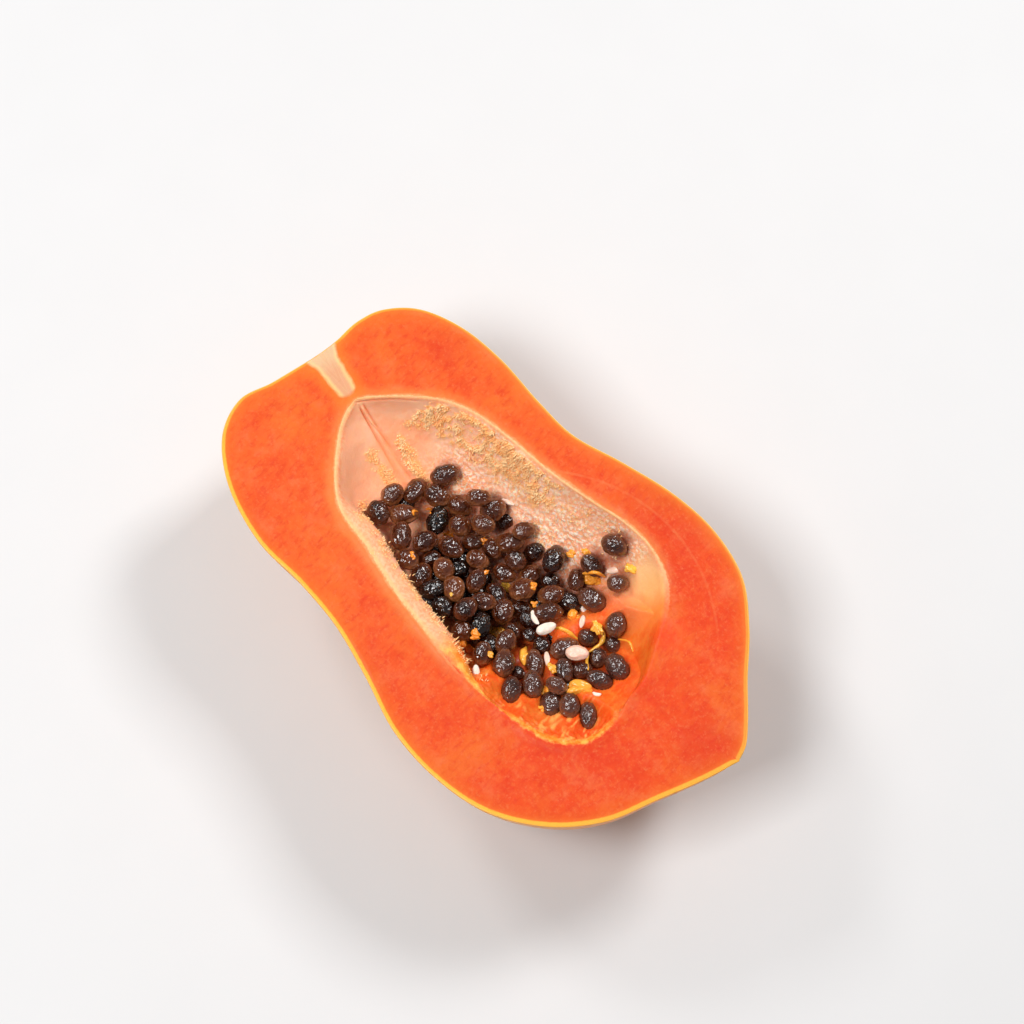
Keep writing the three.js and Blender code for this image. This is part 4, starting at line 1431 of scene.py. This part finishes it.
# Each row: x, y, length, width, turn in degrees, how yellow from 0 to 1.
JELLY_LUMPS = [
    (4.9, 2.3, 4.0, 2.2, -15, 0.8), (20.2, 22.2, 5.0, 4.0, 20, 0.4), (11.9, -10.2, 3.8, 5.5, 0, 0.6),
    (31.7, 12.0, 5.0, 2.5, -25, 0.7), (24.2, 9.5, 4.5, 3.5, 10, 0.4), (40.0, -5.75, 8.2, 4.5, 10, 0.5),
    (31.2, -7.0, 2.6, 2.2, 0, 0.6), (34.0, -13.0, 3.6, 2.0, 70, 0.5), (10.0, 8.0, 2.0, 1.6, 0, 0.3),
    (13.4, 4.4, 1.8, 1.5, 0, 0.3), (-10.0, 8.5, 1.8, 1.4, 0, 0.2), (-18.8, 2.0, 2.6, 1.8, 30, 0.2),
    (-2.9, 1.4, 2.4, 1.0, 60, 0.2), (15.2, -15.7, 2.4, 2.0, 0, 0.5), (8.3, -14.6, 3.0, 2.4, 40, 0.2),
    (10.8, -18.4, 3.6, 2.6, -40, 0.3), (6.7, -19.0, 3.4, 2.6, -20, 0.0), (26.0, 32.4, 4.0, 2.2, 30, 0.9),
    (10.5, 23.5, 3.0, 2.0, 60, 0.4), (13.2, 27.4, 3.4, 2.0, 40, 0.4), (22.6, -8.6, 2.2, 1.6, 60, 0.6),
    (-21.4, -9.4, 1.8, 1.4, 0, 0.2), (-5.0, -10.4, 1.6, 1.2, 0, 0.7), (37.0, -17.6, 2.6, 1.4, 20, 0.5),
]
# Each string: its width, how yellow it is, and the places that it passes.
JELLY_STRINGS = [
    (1.0, 0.8, [(30.5, 12.0), (34.0, 11.5), (35.4, 9.0), (34.8, 4.0)]),
    (1.2, 0.6, [(22.5, 2.5), (25.0, 4.5), (30.0, 5.0)]),
    (1.7, 0.6, [(21.0, -7.0), (22.0, -9.5), (24.5, -11.5)]),
    (0.8, 0.7, [(34.8, 4.0), (36.5, 1.5), (38.5, 0.0)]),
    (1.0, 0.4, [(17.0, 21.0), (19.5, 24.0), (22.5, 25.0)]),
    (0.7, 0.4, [(38.0, 13.0), (41.0, 14.5), (44.0, 13.0)]),
    (0.8, 0.2, [(-28.5, 3.5), (-27.6, 4.6), (-26.6, 3.6)]),
    (0.7, 0.3, [(-29.5, 1.5), (-30.4, 0.4), (-29.4, -0.4)]),
]


def jelly_finish(name, first, second, reach, rough):
    """From the first colour to the second by the scrap's tone, with light reaching into it."""
    finish = Finish(name)
    place = finish.place()
    tone = finish.value("tone")
    mottle = finish.noise(place, 1.2, detail=3)
    shade = finish.tint((tone + mottle * 0.5 - 0.25).fade(0, 1), first, second)
    return finish.surface(
        {"Base Color": shade},
        {"Roughness": rough, "Subsurface Weight": 0.15, "Subsurface Radius": (1.0, 0.5, 0.2),
         "Subsurface Scale": reach},
        mottle * 0.12, bump=0.6)


pale_coat = jelly_finish("pale_seed_skin", "#F2E0D0", "#F2BCA2", 0.0015, 0.36)
orange_jelly = jelly_finish("orange_jelly", "#FF8A2A", "#FFBE4A", 0.0012, 0.22)


LUMP_SHIFT = 0.35
LUMP_TURN = 30
PART_SIZES = (0.5, 0.9)
THINNEST_LUMP = 0.8


def lay_lumps(name, rows, thickness, finish, lobes, first_number, parts=1):
    """One piece from all rows of a list, each row a lump laid where it shows. A torn lump has
    several smaller parts that overlap."""
    grids, tones = [], []
    loose = 1 if parts > 1 else 0
    for i, (lx, ly, length, width, turn, tone, *bend) in enumerate(rows):
        halves = np.array([length, width, max(thickness * width, THINNEST_LUMP)]) / 2
        middle = laid_at(lx, ly, lift=0.5 * halves[2])
        for part in range(parts):
            shift = chooser.normal(size=3) * halves * LUMP_SHIFT * loose
            share = chooser.uniform(*PART_SIZES, 3) if loose else 1
            part_turn = turn + LUMP_TURN * chooser.normal() * loose
            grids.append(lump(middle + shift @ level_axes(turn), halves * share, part_turn,
                              first_number + 7 * i + part, lobes, *bend))
            tones.append(np.full(grids[-1].shape[:2], tone).ravel())
    points, faces = joined(grids, closed=True)
    return make_piece(name, points, faces, [finish], values={"tone": np.concatenate(tones)})


def string_grid(width, route, number, rings=40, sides=9):
    """A thin tube along a smooth curve through its places, laid on the heap, with a radius
    that swells by noise and closes at both ends."""
    shown = [laid_at(px, py, lift=0.4 * width) for px, py in route]
    line = smooth_curve(np.array(shown), np.linspace(0, 1, rings))
    way = unit(np.gradient(line, axis=0))
    swell = 1.25 + 0.5 * soft_noise(line, 1.4, number)
    girth = width / 2 * swell * np.sin(math.pi * np.linspace(0, 1, rings)) ** 0.35
    ring = rings_round(way, np.array([0.1, 0.2, 1.0]), sides)
    return line[:, None] + ring * girth[:, None, None]


lay_lumps("pale_bits", PALE_BITS, 0.55, pale_coat, 0.08, 300)
lay_lumps("jelly_lumps", JELLY_LUMPS, 0.75, orange_jelly, 0.3, 330, parts=4)
string_grids = [string_grid(width, route, 370 + i) for i, (width, _, route) in enumerate(JELLY_STRINGS)]
string_points, string_faces = joined(string_grids, closed=True)
string_tones = np.concatenate([np.full(grid.shape[0] * grid.shape[1], tone)
                               for grid, (_, tone, _) in zip(string_grids, JELLY_STRINGS)])
make_piece("jelly_strings", string_points, string_faces, [orange_jelly],
           values={"tone": string_tones})

for i, pink in ((1, 0.7), (2, 0.1)):
    middle, axes, halves = measured_axes(f"pale_seed_{i}")
    grid = seed_surface(middle, axes, halves, 400 + i, folds=0.6, swell=0.3)
    points, faces = joined([grid], closed=True)
    make_piece(f"pale_seed_{i}_coat", points, faces, [pale_coat],
               [f"pale_seed_{i}"], {"tone": np.full(len(points), pink)})
print(len(PALE_BITS), "pale bits,", len(JELLY_LUMPS), "lumps and", len(JELLY_STRINGS), "strings")

# %% [markdown]
# The floor is plain and pale, and the light is plain and soft: a dim white room and three
# square lamps, the largest in front and above. The wet seeds show each lamp as a spark.

# %% Floor and light
def soft_lamp(name, place, aim, size, power):
    """A square lamp at a place, turned to its aim, both in millimetres."""
    data = bpy.data.lights.new(name, "AREA")
    data.size = size * MM
    data.energy = power
    lamp = bpy.data.objects.new(name, data)
    lamp.location = Vector(place) * MM
    lamp.rotation_euler = (Vector(aim) - Vector(place)).to_track_quat("-Z", "Y").to_euler()
    bpy.context.scene.collection.objects.link(lamp)


FLOOR_SIZE = 8000.0
corners = np.array([[-1, -1, 0], [1, -1, 0], [1, 1, 0], [-1, 1, 0]]) * FLOOR_SIZE / 2
floor_mesh = bpy.data.meshes.new("floor")
floor_mesh.from_pydata((corners * MM).tolist(), [], [(0, 1, 2, 3)])
floor = bpy.data.objects.new("floor", floor_mesh)
floor_finish = Finish("pale_floor")
speckle = floor_finish.noise(floor_finish.place(), 30, detail=2)
floor_mesh.materials.append(floor_finish.surface(
    {"Base Color": floor_finish.tint(speckle, "#D8D7D7", "#DBDADA")}, {"Roughness": 0.6}))
bpy.context.scene.collection.objects.link(floor)

ROOM_LIGHT = 0.22
world = bpy.data.worlds.new("bright_room")
world.use_nodes = True
world.node_tree.nodes["Background"].inputs["Color"].default_value = (1, 1, 1, 1)
world.node_tree.nodes["Background"].inputs["Strength"].default_value = ROOM_LIGHT
bpy.context.scene.world = world
middle_of_face = (0, 0, CUT_HEIGHT)
soft_lamp("main_lamp", (-190, -470, 1100), middle_of_face, 400, 8.6)
soft_lamp("back_lamp", (60, 760, 920), middle_of_face, 300, 7.2)
soft_lamp("stem_side_lamp", (-860, 60, 860), middle_of_face, 250, 3.4)
bpy.context.scene.view_settings.view_transform = "Standard"
bpy.context.scene.view_settings.look = "None"
